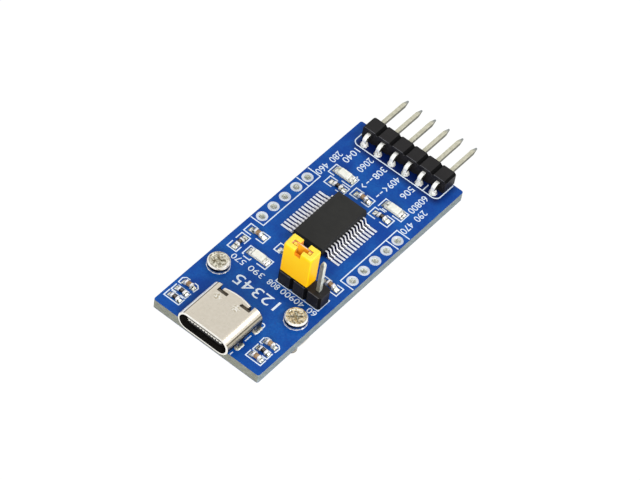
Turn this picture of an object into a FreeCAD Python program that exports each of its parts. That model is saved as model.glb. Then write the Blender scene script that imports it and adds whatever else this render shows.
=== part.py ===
import FreeCAD, Part
import math
import os

# A bare circuit module, 19 x 46 mm: a USB-C receptacle at one end, a six-way right-angle pin header
# at the other, and between them a bridge chip, a voltage selector with its jumper cap, three LEDs
# and the small parts that they need. Two machine screws stand through the board near the receptacle.

# The solids are laid out on the board: x across it from the middle, y from the receptacle's end,
# z from the board's top face. At the end they are shifted to the middle of the whole outline.

# Board
board_width = 19.0
board_length = 46.0
board_thickness = 1.6
board_corner_radius = 0.35
pad_thickness = 0.05
fit_gap = 0.02
tiny = 0.001
beyond = 1.0

# Rows of plated holes along both long sides
side_hole_count = 5
side_hole_pitch = 2.54
side_hole_inset = 1.22
side_row_start = 21.98
side_hole_radius = 0.5
plating_thickness = 0.05
side_pad_radius = 0.875
eyelet_sides = 12

# Pins shared by both headers
pin_side = 0.64
pin_taper_length = 0.45
pin_tip_side = 0.3
pin_pitch = 2.54
cell_size = 2.54
cell_chamfer = 0.32
pin_hole_radius = 0.5
pin_pad_radius = 0.85
pin_tail_depth = 3.0
solder_rise = 0.8
underside_solder_rise = 0.75
solder_waist = 0.78
joint_sides = 8

# Right-angle pin header
header_pins = 6
header_offset = 0.05
header_hole_y = 42.7
header_block_gap = 0.85
header_axis_height = 1.5
header_block_lift = 0.0
header_pin_reach = 6.65
header_bend_radius = 0.55
header_taper_length = 1.1
header_tip_side = 0.22

# Voltage selector and its jumper cap
selector_pins = 3
selector_centre_x = 4.41
selector_y = 15.7
selector_pin_height = 6.0
cap_length = 4.9
cap_width = 2.2
cap_height = 6.0
cap_seat_gap = 0.15
cap_edge_bevel = 0.15
cap_front_radius = 0.5
cap_front_drop = 0.3
cap_roof = 0.3
cap_slot_length = 3.3
cap_slot_width = 0.76
cap_back_notch_width = 1.3
cap_back_notch_depth = 1.5
cap_front_notch_width = 1.05
cap_front_notch_depth = 1.3
clip_thickness = 0.15
clip_lift = 0.7
clip_roof_gap = 0.05
clip_pin_gap = 0.03
clip_wall_gap = 0.02

# Bridge chip in a 28-lead package
chip_x = -0.12
chip_y = 27.03
chip_body_width = 5.3
chip_body_length = 10.2
chip_body_height = 1.75
chip_standoff = 0.1
chip_draft = 0.12
chip_band = 0.2
chip_leads_per_side = 14
chip_lead_pitch = 0.65
chip_lead_width = 0.3
chip_lead_thickness = 0.15
chip_shoulder = 0.38
chip_foot_inner = 3.32
chip_foot_outer = 3.95
chip_pad_inner = 3.15
chip_pad_outer = 5.3
chip_pad_width = 0.37
chip_dot_radius = 0.4
chip_dot_depth = 0.06
chip_dot_inset = 1.1

# USB-C receptacle
shell_width = 8.94
shell_height = 3.2
shell_length = 7.5
shell_wall = 0.3
shell_overhang = 0.9
shell_rim_bevel = 0.08
shell_lift = 0.02
block_depth = 1.3
slot_neck = 1.15
slot_flap = 2.3
slot_outer = 2.9
slot_length = 0.55
flap_bend_radius = 0.4
flap_bottom = 0.55
leg_front_inset = 2.95
leg_rear_inset = 0.65
leg_length = 1.1
leg_depth = 2.1
leg_slot_width = 0.7
leg_slot_length = 1.7
leg_slot_flat = 0.5
leg_pad_width = 1.15
leg_pad_length = 2.15
leg_solder_height = 0.35
tongue_width = 6.69
tongue_thickness = 0.7
tongue_setback = 0.45
tongue_corner_radius = 0.7
tongue_root_length = 1.2
tongue_root_thickness = 1.3
mid_plate_thickness = 0.15
mid_plate_setback = 0.25
contact_thickness = 0.1
contact_proud = 0.03
contact_width = 0.26
contact_setback = 0.12
tail_row_inset = 0.55
tail_reach = 0.55
tail_thickness = 0.15
signal_tail_width = 0.22
power_tail_width = 0.5
tail_pad_gap = 0.05
tail_pad_length = 0.75
rear_opening_half = 3.75
rear_opening_height = 0.67

# Machine screws and nuts
screw_inset = 2.48
screw_y = 10.95
screw_radius = 1.0
screw_hole_radius = 1.05
screw_length = 6.5
screw_end_radius = 0.96
screw_end_chamfer = 0.2
head_width = 3.35
head_height = 1.05
head_rim_height = 0.8
head_top_width = 3.0
head_dish_width = 2.45
head_dish_depth = 0.12
screw_pad_radius = 1.77
recess_width = 0.42
recess_span = 1.9
recess_depth = 0.6
nut_across_flats = 4.0
nut_height = 1.6
nut_chamfer = 0.25
nut_chamfer_slope = 0.5

# Small two-ended parts
chip_part_length = 1.15
chip_part_width = 0.62
capacitor_height = 0.58
resistor_height = 0.38
end_length = 0.27
small_pad_length = 1.15
small_pad_width = 0.95
small_pad_gap = 0.75
corner_pad_length = 0.8
corner_pad_width = 0.85
corner_pad_gap = 0.75
solder_climb = 0.8
corner_group_start = 2.25
corner_group_pitch = 1.5
left_corner_inset = 1.93
right_corner_inset = 2.3
supply_inset = 2.9
power_resistor_inset = 2.02
supply_gap = 3.4
chip_capacitor_gap = 2.57
led_resistor_gap = 1.78
led_gap = 4.0

# Light-emitting diodes
led_length = 2.7
led_width = 1.2
led_base_height = 0.25
led_lens_length = 2.0
led_lens_top_length = 1.85
led_lens_height = 0.38
led_end_length = 0.32
led_end_thickness = 0.04
led_pad_length = 1.1
led_pad_width = 1.25
led_pad_gap = 1.7

# Places that follow the board's sides, the selector and the chip
left_corner_x = -board_width / 2 + left_corner_inset
right_corner_x = board_width / 2 - right_corner_inset
supply_x = board_width / 2 - supply_inset
supply_y = selector_y + supply_gap
screw_x = board_width / 2 - screw_inset
chip_end = chip_y + chip_body_length / 2
led_resistor_y = chip_end + led_resistor_gap
led_y = chip_end + led_gap
corner_rows = [corner_group_start + i * corner_group_pitch for i in range(3)]

# Place of each small part: kind, x, y, whether it lies along the board, and the kind of its pads
SMALL_PARTS = {
    "capacitor_left_corner": ("capacitor", left_corner_x, corner_rows[2], False, "corner"),
    "resistor_left_upper": ("resistor", left_corner_x, corner_rows[1], False, "corner"),
    "resistor_left_lower": ("resistor", left_corner_x, corner_rows[0], False, "corner"),
    "capacitor_right_corner": ("capacitor", right_corner_x, corner_rows[2], False, "corner"),
    "resistor_right_corner": ("resistor", right_corner_x, corner_rows[1], False, "corner"),
    "capacitor_right_lower": ("capacitor", right_corner_x, corner_rows[0], False, "corner"),
    "capacitor_left_supply": ("capacitor", -supply_x, supply_y, False, "wide"),
    "capacitor_middle_supply": ("capacitor", -1.35, supply_y, False, "wide"),
    "capacitor_right_supply": ("capacitor", supply_x, supply_y, False, "wide"),
    "capacitor_chip": ("capacitor", chip_x, chip_end + chip_capacitor_gap, False, "wide"),
    "resistor_power_led": ("resistor", -board_width / 2 + power_resistor_inset, 16.08, True, "wide"),
    "resistor_left_led": ("resistor", -4.12, led_resistor_y, False, "wide"),
    "resistor_right_led": ("resistor", 4.0, led_resistor_y, False, "wide"),
}
LEDS = {
    "power_led": (-3.82, 15.9),
    "left_led": (-4.65, led_y),
    "right_led": (4.47, led_y),
}

UP = FreeCAD.Vector(0, 0, 1)
PLANES = {
    "xy": lambda a, b, c: FreeCAD.Vector(a, b, c),
    "xz": lambda a, b, c: FreeCAD.Vector(a, c, b),
    "yz": lambda a, b, c: FreeCAD.Vector(c, a, b),
}


def box(x0, x1, y0, y1, z0, z1):
    return Part.makeBox(x1 - x0, y1 - y0, z1 - z0, FreeCAD.Vector(x0, y0, z0))


def moved(shape, x=0.0, y=0.0, z=0.0):
    copy = shape.copy()
    copy.translate(FreeCAD.Vector(x, y, z))
    return copy


def turned(shape, degrees):
    copy = shape.copy()
    copy.rotate(FreeCAD.Vector(0, 0, 0), UP, degrees)
    return copy


def fused(shapes):
    whole = shapes[0].multiFuse(shapes[1:]) if len(shapes) > 1 else shapes[0]
    return whole.removeSplitter()


def rounded_outline(points, radii, plane, level):
    """Closed wire through the points, with each corner rounded by its radius."""
    place = PLANES[plane]
    ends = []
    count = len(points)
    for i, (point, radius) in enumerate(zip(points, radii)):
        before = points[i - 1]
        after = points[(i + 1) % count]
        to_before = (before[0] - point[0], before[1] - point[1])
        to_after = (after[0] - point[0], after[1] - point[1])
        len_before = math.hypot(*to_before)
        len_after = math.hypot(*to_after)
        unit_before = (to_before[0] / len_before, to_before[1] / len_before)
        unit_after = (to_after[0] / len_after, to_after[1] / len_after)
        cosine = unit_before[0] * unit_after[0] + unit_before[1] * unit_after[1]
        half = 0.5 * math.acos(max(-1.0, min(1.0, cosine)))
        trim = radius / math.tan(half) if radius else 0.0
        start = (point[0] + unit_before[0] * trim, point[1] + unit_before[1] * trim)
        end = (point[0] + unit_after[0] * trim, point[1] + unit_after[1] * trim)
        bisector = (unit_before[0] + unit_after[0], unit_before[1] + unit_after[1])
        size = math.hypot(*bisector)
        reach = radius / math.sin(half) - radius if radius else 0.0
        middle = (point[0] + bisector[0] / size * reach, point[1] + bisector[1] / size * reach)
        ends.append((start, middle, end, radius))
    edges = []
    for i, (start, middle, end, radius) in enumerate(ends):
        if radius:
            arc = Part.Arc(place(*start, level), place(*middle, level), place(*end, level))
            edges.append(arc.toShape())
        following = ends[(i + 1) % count][0]
        if math.hypot(following[0] - end[0], following[1] - end[1]) > 1e-6:
            edges.append(Part.LineSegment(place(*end, level), place(*following, level)).toShape())
    return Part.Wire(edges)


def extruded(points, radii, plane, low, high):
    face = Part.Face(rounded_outline(points, radii, plane, low))
    return face.extrude(PLANES[plane](0, 0, high - low))


def slab(x0, x1, y0, y1, z0, z1, radius):
    """A plate with its four upright edges rounded."""
    points = [(x0, y0), (x1, y0), (x1, y1), (x0, y1)]
    return extruded(points, [radius] * 4, "xy", z0, z1)


def strip_outline(path, bend_radius, thickness):
    """Outline of a bent strip: both sides of the path, with concentric bends."""
    sides = ([], [])
    bends = ([], [])
    half = thickness / 2
    for i, point in enumerate(path):
        directions = []
        if i > 0:
            directions.append((point[0] - path[i - 1][0], point[1] - path[i - 1][1]))
        if i < len(path) - 1:
            directions.append((path[i + 1][0] - point[0], path[i + 1][1] - point[1]))
        units = [(d[0] / math.hypot(*d), d[1] / math.hypot(*d)) for d in directions]
        normals = [(-u[1], u[0]) for u in units]
        turn = 0.0
        if len(units) == 2:
            turn = units[0][0] * units[1][1] - units[0][1] * units[1][0]
        total = (sum(n[0] for n in normals), sum(n[1] for n in normals))
        size = math.hypot(*total)
        normal = (total[0] / size, total[1] / size)
        stretch = half / (normal[0] * normals[0][0] + normal[1] * normals[0][1])
        for side, sign in enumerate((1, -1)):
            shift = sign * stretch
            sides[side].append((point[0] + shift * normal[0], point[1] + shift * normal[1]))
            radius = 0.0
            if len(units) == 2 and bend_radius:
                radius = bend_radius - half if turn * sign > 0 else bend_radius + half
            bends[side].append(radius)
    return sides[0] + sides[1][::-1], bends[0] + bends[1][::-1]


def bent_strip(path, bend_radius, thickness, plane, low, high):
    points, radii = strip_outline(path, bend_radius, thickness)
    return extruded(points, radii, plane, low, high)


def revolved(profile):
    """Solid of revolution about z, from a closed profile of radius and height pairs."""
    corners = [FreeCAD.Vector(r, 0, z) for r, z in profile]
    wire = Part.makePolygon(corners + corners[:1])
    return Part.Face(wire).revolve(FreeCAD.Vector(0, 0, 0), UP, 360)


def ring(sides, radius, height):
    """Corners of a regular polygon about z, with flats that face the axes."""
    angles = [2 * math.pi * (i + 0.5) / sides for i in range(sides)]
    return [FreeCAD.Vector(radius * math.cos(a), radius * math.sin(a), height) for a in angles]


def oblong(half_x, half_y, height):
    corners = ((-1, -1), (1, -1), (1, 1), (-1, 1))
    return [FreeCAD.Vector(x * half_x, y * half_y, height) for x, y in corners]


def closed_polygon(corners):
    return Part.makePolygon(corners + corners[:1])


def stacked(rings, hollow=False):
    """Solid with flat faces between rings of corners, capped at both ends or closed on itself."""
    count = len(rings[0])
    pairs = list(zip(rings, rings[1:] + rings[:1] if hollow else rings[1:]))
    faces = []
    for low, high in pairs:
        for i in range(count):
            j = (i + 1) % count
            faces.append(Part.Face(closed_polygon([low[i], low[j], high[j], high[i]])))
    if not hollow:
        faces += [Part.Face(closed_polygon(rings[0])), Part.Face(closed_polygon(rings[-1]))]
    return oriented(Part.makeSolid(Part.makeShell(faces)))


def oriented(solid):
    solid.fixTolerance(1e-6)
    return solid if solid.Volume > 0 else solid.reversed()


def pin_point(side, tip_side, length):
    """The tapered end of a square pin, from its full section at z = 0 to its tip."""
    return stacked([oblong(side / 2, side / 2, 0), oblong(tip_side / 2, tip_side / 2, length)])


def cylinder(x, y, z0, z1, radius):
    return Part.makeCylinder(radius, z1 - z0, FreeCAD.Vector(x, y, z0))


def centred_row(count, pitch):
    return [(i - (count - 1) / 2) * pitch for i in range(count)]


# Places that several pieces share
board_bottom = -board_thickness
header_xs = [header_offset + x for x in centred_row(header_pins, pin_pitch)]
selector_xs = [selector_centre_x + x for x in centred_row(selector_pins, pin_pitch)]
side_hole_x = board_width / 2 - side_hole_inset
side_holes = [(side * side_hole_x, side_row_start + i * side_hole_pitch)
              for side in (-1, 1) for i in range(side_hole_count)]
pin_holes = [(x, header_hole_y) for x in header_xs] + [(x, selector_y) for x in selector_xs]
screw_places = {"left": (-screw_x, screw_y), "right": (screw_x, screw_y)}
leg_x = shell_width / 2 - shell_wall / 2
shell_front = -shell_overhang
shell_rear = shell_front + shell_length
shell_base = shell_lift
shell_top = shell_base + shell_height
shell_middle = shell_base + shell_height / 2
cavity_end = shell_rear - block_depth
tail_row_y = shell_rear - tail_row_inset
leg_rows = (shell_front + leg_front_inset, shell_rear - leg_rear_inset)
leg_places = [(side * leg_x, y) for side in (-1, 1) for y in leg_rows]
tongue_tip = shell_front + tongue_setback
cap_base = cell_size + cap_seat_gap
cap_top = cap_base + cap_height
cap_x = (selector_xs[0] + selector_xs[1]) / 2


def leg_slot(x, y, z0, z1, width, length):
    """A slot with cut corners for one leg of the receptacle."""
    half_x = width / 2
    half_y = length / 2
    cut_x = half_x * leg_slot_flat
    cut_y = half_y - (half_x - cut_x)
    quarter = [(cut_x, half_y), (half_x, cut_y)]
    right = quarter + [(a, -b) for a, b in reversed(quarter)]
    points = right + [(-a, b) for a, b in reversed(right)]
    return moved(extruded(points, [0] * len(points), "xy", z0, z1), x, y)


def barrel(sides, radius):
    """The inside of a plated hole, with the same flats as the metal that lines it."""
    return stacked([ring(sides, radius, board_bottom), ring(sides, radius, 0)])


def circuit_board():
    half = board_width / 2
    board = slab(-half, half, 0, board_length, board_bottom, 0, board_corner_radius)
    side_hole = barrel(eyelet_sides, side_hole_radius + plating_thickness)
    pin_hole = barrel(joint_sides, pin_hole_radius)
    holes = [moved(side_hole, x, y) for x, y in side_holes]
    holes += [moved(pin_hole, x, y) for x, y in pin_holes]
    holes += [cylinder(x, y, board_bottom, 0, screw_hole_radius) for x, y in screw_places.values()]
    holes += [leg_slot(x, y, board_bottom, 0, leg_slot_width, leg_slot_length) for x, y in leg_places]
    return board.cut(Part.makeCompound(holes))


def side_hole_plating():
    bore = side_hole_radius
    wall = side_hole_radius + plating_thickness
    low = board_bottom - pad_thickness
    profile = [(bore, low), (side_pad_radius, low), (side_pad_radius, board_bottom),
               (wall, board_bottom),
               (wall, 0), (side_pad_radius, 0), (side_pad_radius, pad_thickness), (bore, pad_thickness)]
    eyelet = stacked([ring(eyelet_sides, radius, height) for radius, height in profile], hollow=True)
    return Part.makeCompound([moved(eyelet, x, y) for x, y in side_holes])


def pad(x0, x1, y0, y1):
    return box(x0, x1, y0, y1, 0, pad_thickness)


def pad_sizes(kind):
    if kind == "corner":
        return corner_pad_length, corner_pad_width, corner_pad_gap
    if kind == "led":
        return led_pad_length, led_pad_width, led_pad_gap
    return small_pad_length, small_pad_width, small_pad_gap


def pad_pair(kind, x, y, along):
    length, width, gap = pad_sizes(kind)
    right = pad(gap / 2, gap / 2 + length, -width / 2, width / 2)
    pair = [right, turned(right, 180)]
    angle = 90 if along else 0
    return [moved(turned(piece, angle), x, y) for piece in pair]


def chip_rows():
    return [chip_y + y for y in centred_row(chip_leads_per_side, chip_lead_pitch)]


def surface_pads():
    pads = []
    for y in chip_rows():
        for low, high in ((-chip_pad_outer, -chip_pad_inner), (chip_pad_inner, chip_pad_outer)):
            half = chip_pad_width / 2
            pads.append(pad(chip_x + low, chip_x + high, y - half, y + half))
    for kind, x, y, along, pads_kind in SMALL_PARTS.values():
        pads += pad_pair(pads_kind, x, y, along)
    for x, y in LEDS.values():
        pads += pad_pair("led", x, y, False)
    for x, width in tail_places():
        start = shell_rear + tail_pad_gap
        pads.append(pad(x - width / 2, x + width / 2, start, start + tail_pad_length))
    profile = [(screw_hole_radius, 0), (screw_pad_radius, 0), (screw_pad_radius, pad_thickness),
               (screw_hole_radius, pad_thickness)]
    seat = stacked([ring(eyelet_sides, radius, height) for radius, height in profile], hollow=True)
    pads += [moved(seat, x, y) for x, y in screw_places.values()]
    return Part.makeCompound(pads)


def chip_outline(height, inset):
    return oblong(chip_body_width / 2 - inset, chip_body_length / 2 - inset, height)


def chip_parting():
    return chip_standoff + chip_body_height / 2


def chip_body():
    low = chip_standoff
    high = low + chip_body_height
    middle = chip_parting()
    sections = [chip_outline(low, chip_draft), chip_outline(middle - chip_band / 2, 0),
                chip_outline(middle + chip_band / 2, 0), chip_outline(high, chip_draft)]
    body = moved(stacked(sections), chip_x, chip_y)
    dot_x = chip_x - chip_body_width / 2 + chip_dot_inset
    dot_y = chip_y + chip_body_length / 2 - chip_dot_inset
    dot = cylinder(dot_x, dot_y, high - chip_dot_depth, high + chip_dot_depth, chip_dot_radius)
    return body.cut(dot)


def chip_leads():
    start = chip_body_width / 2
    foot = pad_thickness + chip_lead_thickness / 2
    path = [(start, chip_parting()), (start + chip_shoulder, chip_parting()),
            (chip_foot_inner, foot), (chip_foot_outer, foot)]
    lead = bent_strip(path, 0, chip_lead_thickness, "xz", -chip_lead_width / 2, chip_lead_width / 2)
    leads = []
    for y in chip_rows():
        leads.append(moved(lead, chip_x, y))
        leads.append(moved(turned(lead, 180), chip_x, y))
    return Part.makeCompound(leads)


def stadium(inset, y0, y1):
    half = shell_width / 2 - inset
    low = shell_base + inset
    high = shell_top - inset
    radius = (high - low) / 2 - tiny
    points = [(-half, low), (half, low), (half, high), (-half, high)]
    return extruded(points, [radius] * 4, "xz", y0, y1)


def usb_shell():
    bore = stadium(shell_wall, shell_front - beyond, shell_rear + beyond)
    tube = stadium(0, shell_front, shell_rear).cut(bore)
    tube = tube.makeChamfer(shell_rim_bevel, rim_edges(tube))
    roof = shell_top - shell_wall
    sky = shell_top + beyond
    cuts = []
    for side in (-1, 1):
        near, far = sorted((side * slot_neck, side * slot_outer))
        cuts.append(box(near, far, cavity_end, cavity_end + slot_length, shell_middle, sky))
        near, far = sorted((side * slot_flap, side * slot_outer))
        cuts.append(box(near, far, cavity_end, shell_rear + beyond, shell_middle, sky))
    cuts.append(box(-rear_opening_half, rear_opening_half, tail_row_y - power_tail_width,
                    shell_rear + beyond, shell_base - beyond, shell_base + rear_opening_height))
    cuts.append(box(-slot_outer, slot_outer, shell_rear - shell_wall - flap_bend_radius,
                    shell_rear + beyond, roof, sky))
    tube = tube.cut(Part.makeCompound(cuts))
    centre = shell_top - shell_wall / 2
    path = [(cavity_end + slot_length, centre),
            (shell_rear - shell_wall / 2, centre), (shell_rear - shell_wall / 2, flap_bottom)]
    flap = bent_strip(path, flap_bend_radius, shell_wall, "yz", -slot_flap, slot_flap)
    legs = [box(x - shell_wall / 2, x + shell_wall / 2, y - leg_length / 2, y + leg_length / 2,
                -leg_depth, shell_middle) for x, y in leg_places]
    return fused([tube, flap] + legs)


def rim_edges(tube):
    """The edges of the mouth's outer rim."""
    half = shell_width / 2
    rim = []
    for edge in tube.Edges:
        limits = edge.BoundBox
        on_front = limits.YMax < shell_front + 1e-6
        on_top = abs(limits.ZMax - shell_top) < 1e-3 or abs(limits.ZMin - shell_base) < 1e-3
        on_side = abs(limits.XMax - half) < 1e-3 or abs(limits.XMin + half) < 1e-3
        if on_front and (on_top or on_side):
            rim.append(edge)
    return rim


def tongue_outline(setback, width):
    half = width / 2
    tip = tongue_tip + setback
    return [(-half, tip), (half, tip), (half, cavity_end + fit_gap), (-half, cavity_end + fit_gap)]


def usb_insulator():
    radii = [tongue_corner_radius, tongue_corner_radius, 0, 0]
    half = tongue_thickness / 2
    outline = tongue_outline(0, tongue_width)
    tongue = extruded(outline, radii, "xy", shell_middle - half, shell_middle + half)
    half_root = tongue_root_thickness / 2
    root = box(-tongue_width / 2, tongue_width / 2, cavity_end - tongue_root_length,
               cavity_end + fit_gap, shell_middle - half_root, shell_middle + half_root)
    block_end = shell_rear - shell_wall - fit_gap
    block = stadium(shell_wall + fit_gap, cavity_end, block_end)
    base = box(-rear_opening_half + fit_gap, rear_opening_half - fit_gap,
               tail_row_y - power_tail_width + fit_gap, block_end,
               pad_thickness + tail_thickness, shell_middle)
    bend = flap_bend_radius
    bend_low = shell_top - shell_wall - bend
    relief = box(-slot_outer, slot_outer, block_end - bend, block_end + beyond, bend_low, shell_top)
    whole = fused([tongue, root, block, base]).cut(relief)
    inner = [usb_mid_plate()] + list(usb_contacts().Solids)
    return whole.cut(Part.makeCompound(inner))


def usb_mid_plate():
    radii = [tongue_corner_radius, tongue_corner_radius, 0, 0]
    half = mid_plate_thickness / 2
    return extruded(tongue_outline(mid_plate_setback, tongue_width), radii, "xy",
                    shell_middle - half, shell_middle + half)


# Each tongue place feeds one tail: place on the tongue, place of the tail, and the rows that it joins
CONTACTS = [
    (0.25, 0.25, "upper"),
    (0.75, 1.25, "upper"),
    (0.25, 0.75, "lower"),
    (0.75, 1.75, "lower"),
    (1.25, 2.4, "both"),
    (2.75, 3.2, "both"),
]


def tail_width(row):
    return power_tail_width if row == "both" else signal_tail_width


def tail_places():
    places = [(tail, tail_width(row) + 2 * pad_thickness) for place, tail, row in CONTACTS]
    return places + [(-tail, width) for tail, width in places]


def contact_strip(place, tail, width, low, high):
    """One flat contact: straight on the tongue, then fanned out to its tail's place."""
    fan_start = cavity_end - tongue_root_length / 2
    half = contact_width / 2
    tip = tongue_tip + contact_setback
    end = tail_row_y + tail_thickness
    points = [(place - half, tip), (place + half, tip), (place + half, fan_start),
              (tail + width / 2, tail_row_y), (tail + width / 2, end), (tail - width / 2, end),
              (tail - width / 2, tail_row_y), (place - half, fan_start)]
    return extruded(points, [0] * len(points), "xy", low, high)


def usb_contacts():
    face = tongue_thickness / 2 + contact_proud
    levels = {
        "upper": (shell_middle + face - contact_thickness, shell_middle + face),
        "lower": (shell_middle - face, shell_middle - face + contact_thickness),
    }
    solids = []
    for place, tail, row in CONTACTS:
        width = tail_width(row)
        rows = ("upper", "lower") if row == "both" else (row,)
        top = levels[rows[0]][1]
        pieces = [contact_strip(place, tail, width, *levels[name]) for name in rows]
        pieces.append(box(tail - width / 2, tail + width / 2, tail_row_y, tail_row_y + tail_thickness,
                          pad_thickness, top))
        pieces.append(box(tail - width / 2, tail + width / 2, tail_row_y, shell_rear + tail_reach,
                          pad_thickness, pad_thickness + tail_thickness))
        contact = fused(pieces)
        solids.append(contact)
        mirrored = contact.mirror(FreeCAD.Vector(0, 0, 0), FreeCAD.Vector(1, 0, 0))
        solids.append(mirrored)
    return Part.makeCompound(solids)


def usb_solder():
    solids = []
    for x, y in leg_places:
        fill = leg_slot(x, y, board_bottom - leg_solder_height / 2, 0, leg_slot_width, leg_slot_length)
        outline = leg_slot(x, y, 0, pad_thickness, leg_pad_width, leg_pad_length)
        pad_bottom = board_bottom - pad_thickness
        under = leg_slot(x, y, pad_bottom, board_bottom, leg_pad_width, leg_pad_length)
        leg = box(x - shell_wall / 2, x + shell_wall / 2, y - leg_length / 2, y + leg_length / 2,
                  -leg_depth, shell_middle)
        solids.append(fused([fill, outline, under]).cut(leg))
    return Part.makeCompound(solids)


def joint_solder(top_rise):
    """Solder of one pin: fillets above and below the board, joined through the hole."""
    waist = pin_side * solder_waist
    profile = [(waist, board_bottom - underside_solder_rise), (pin_pad_radius, board_bottom),
               (pin_hole_radius, board_bottom), (pin_hole_radius, 0),
               (pin_pad_radius, 0), (waist, top_rise)]
    half = pin_side / 2
    pin = box(-half, half, -half, half, -pin_tail_depth - beyond, top_rise + beyond)
    return stacked([ring(joint_sides, radius, height) for radius, height in profile]).cut(pin)


def cell_outline(xs, middle):
    """Outline of a row of moulded cells: flat sides joined by small grooves."""
    half = cell_size / 2
    points = []
    flat = half - cell_chamfer
    for x in xs:
        points += [(x - half, middle - flat), (x - flat, middle - half), (x + flat, middle - half)]
    points.append((xs[-1] + half, middle - flat))
    for x in reversed(xs):
        points += [(x + half, middle + flat), (x + flat, middle + half), (x - flat, middle + half)]
    points.append((xs[0] - half, middle + flat))
    kept = []
    for point in points:
        if not kept or math.hypot(point[0] - kept[-1][0], point[1] - kept[-1][1]) > 1e-6:
            kept.append(point)
    return kept


def pin_header_body():
    middle = header_block_lift + cell_size / 2
    points = cell_outline(header_xs, middle)
    start = header_hole_y + header_block_gap
    block = extruded(points, [0] * len(points), "xz", start, start + cell_size)
    half = pin_side / 2
    axis = header_axis_height
    near = start - beyond
    far = start + cell_size + beyond
    bores = [box(x - half, x + half, near, far, axis - half, axis + half)
             for x in header_xs]
    return block.cut(Part.makeCompound(bores))


def pin_header_pins():
    end = header_hole_y + header_block_gap + cell_size + header_pin_reach - header_taper_length
    low = -pin_tail_depth + pin_taper_length
    path = [(end, header_axis_height), (header_hole_y, header_axis_height), (header_hole_y, low)]
    half = pin_side / 2
    shaft = bent_strip(path, header_bend_radius, pin_side, "yz", -half, half)
    tip = pin_point(pin_side, header_tip_side, header_taper_length)
    tip.rotate(FreeCAD.Vector(0, 0, 0), FreeCAD.Vector(1, 0, 0), -90)
    tail = pin_point(pin_side, pin_tip_side, pin_taper_length)
    tail.rotate(FreeCAD.Vector(0, 0, 0), FreeCAD.Vector(1, 0, 0), 180)
    pin = fused([shaft, moved(tip, 0, end, header_axis_height), moved(tail, 0, header_hole_y, low)])
    return Part.makeCompound([moved(pin, x) for x in header_xs])


def pin_header_solder():
    joint = joint_solder(solder_rise)
    return Part.makeCompound([moved(joint, x, header_hole_y) for x in header_xs])


def selector_body():
    points = cell_outline(selector_xs, selector_y)
    block = extruded(points, [0] * len(points), "xy", pad_thickness, cell_size)
    half = pin_side / 2
    bores = [box(x - half, x + half, selector_y - half, selector_y + half, -beyond, cell_size + beyond)
             for x in selector_xs]
    return block.cut(Part.makeCompound(bores))


def straight_pin():
    low = -pin_tail_depth + pin_taper_length
    high = cell_size + selector_pin_height - pin_taper_length
    sides = [(pin_tip_side, -pin_tail_depth), (pin_side, low), (pin_side, high),
             (pin_tip_side, high + pin_taper_length)]
    return stacked([oblong(side / 2, side / 2, height) for side, height in sides])


def selector_pins_row():
    return Part.makeCompound([moved(straight_pin(), x, selector_y) for x in selector_xs])


def selector_solder():
    joint = joint_solder(pad_thickness)
    return Part.makeCompound([moved(joint, x, selector_y) for x in selector_xs])


def jumper_cap():
    front = selector_y - cap_width / 2
    back = selector_y + cap_width / 2
    points = [(front, cap_base), (back, cap_base), (back, cap_top), (front, cap_top - cap_front_drop)]
    radii = [0, 0, 0, cap_front_radius]
    cap = extruded(points, radii, "yz", cap_x - cap_length / 2, cap_x + cap_length / 2)
    upright = [edge for edge in cap.Edges if edge.BoundBox.ZLength > cap_height / 2
               and edge.BoundBox.XLength < fit_gap and edge.BoundBox.YLength < fit_gap]
    cap = cap.makeChamfer(cap_edge_bevel, upright)
    half_x = clip_half(pin_pitch + pin_side) + clip_wall_gap
    half_y = clip_half(pin_side) + clip_wall_gap
    cavity = box(cap_x - half_x, cap_x + half_x, selector_y - half_y, selector_y + half_y,
                 cap_base - beyond, cap_top - cap_roof)
    slot = box(cap_x - cap_slot_length / 2, cap_x + cap_slot_length / 2,
               selector_y - cap_slot_width / 2, selector_y + cap_slot_width / 2,
               cap_top - cap_roof - beyond, cap_top + beyond)
    back_notch = box(cap_x - cap_back_notch_width / 2, cap_x + cap_back_notch_width / 2,
                     selector_y, back + beyond, cap_top - cap_back_notch_depth, cap_top + beyond)
    front_notch = box(cap_x - cap_front_notch_width / 2, cap_x + cap_front_notch_width / 2,
                      front - beyond, selector_y, cap_top - cap_front_notch_depth, cap_top + beyond)
    return cap.cut(Part.makeCompound([cavity, slot, back_notch, front_notch]))


def clip_half(span):
    """Half of the clip's outer size where it wraps a span of the pins."""
    return span / 2 + clip_pin_gap + clip_thickness


def jumper_contact():
    """A folded clip: a plate along both pins, with its ends curled round them."""
    half_x = clip_half(pin_pitch + pin_side) - clip_thickness / 2
    half_y = clip_half(pin_side) - clip_thickness / 2
    finger = pin_pitch / 2 - pin_side / 2
    path = [(-finger, -half_y), (-half_x, -half_y), (-half_x, half_y),
            (half_x, half_y), (half_x, -half_y), (finger, -half_y)]
    low = cap_base + clip_lift
    high = cap_top - cap_roof - clip_roof_gap
    return moved(bent_strip(path, 0, clip_thickness, "xy", low, high), cap_x, selector_y)


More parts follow.
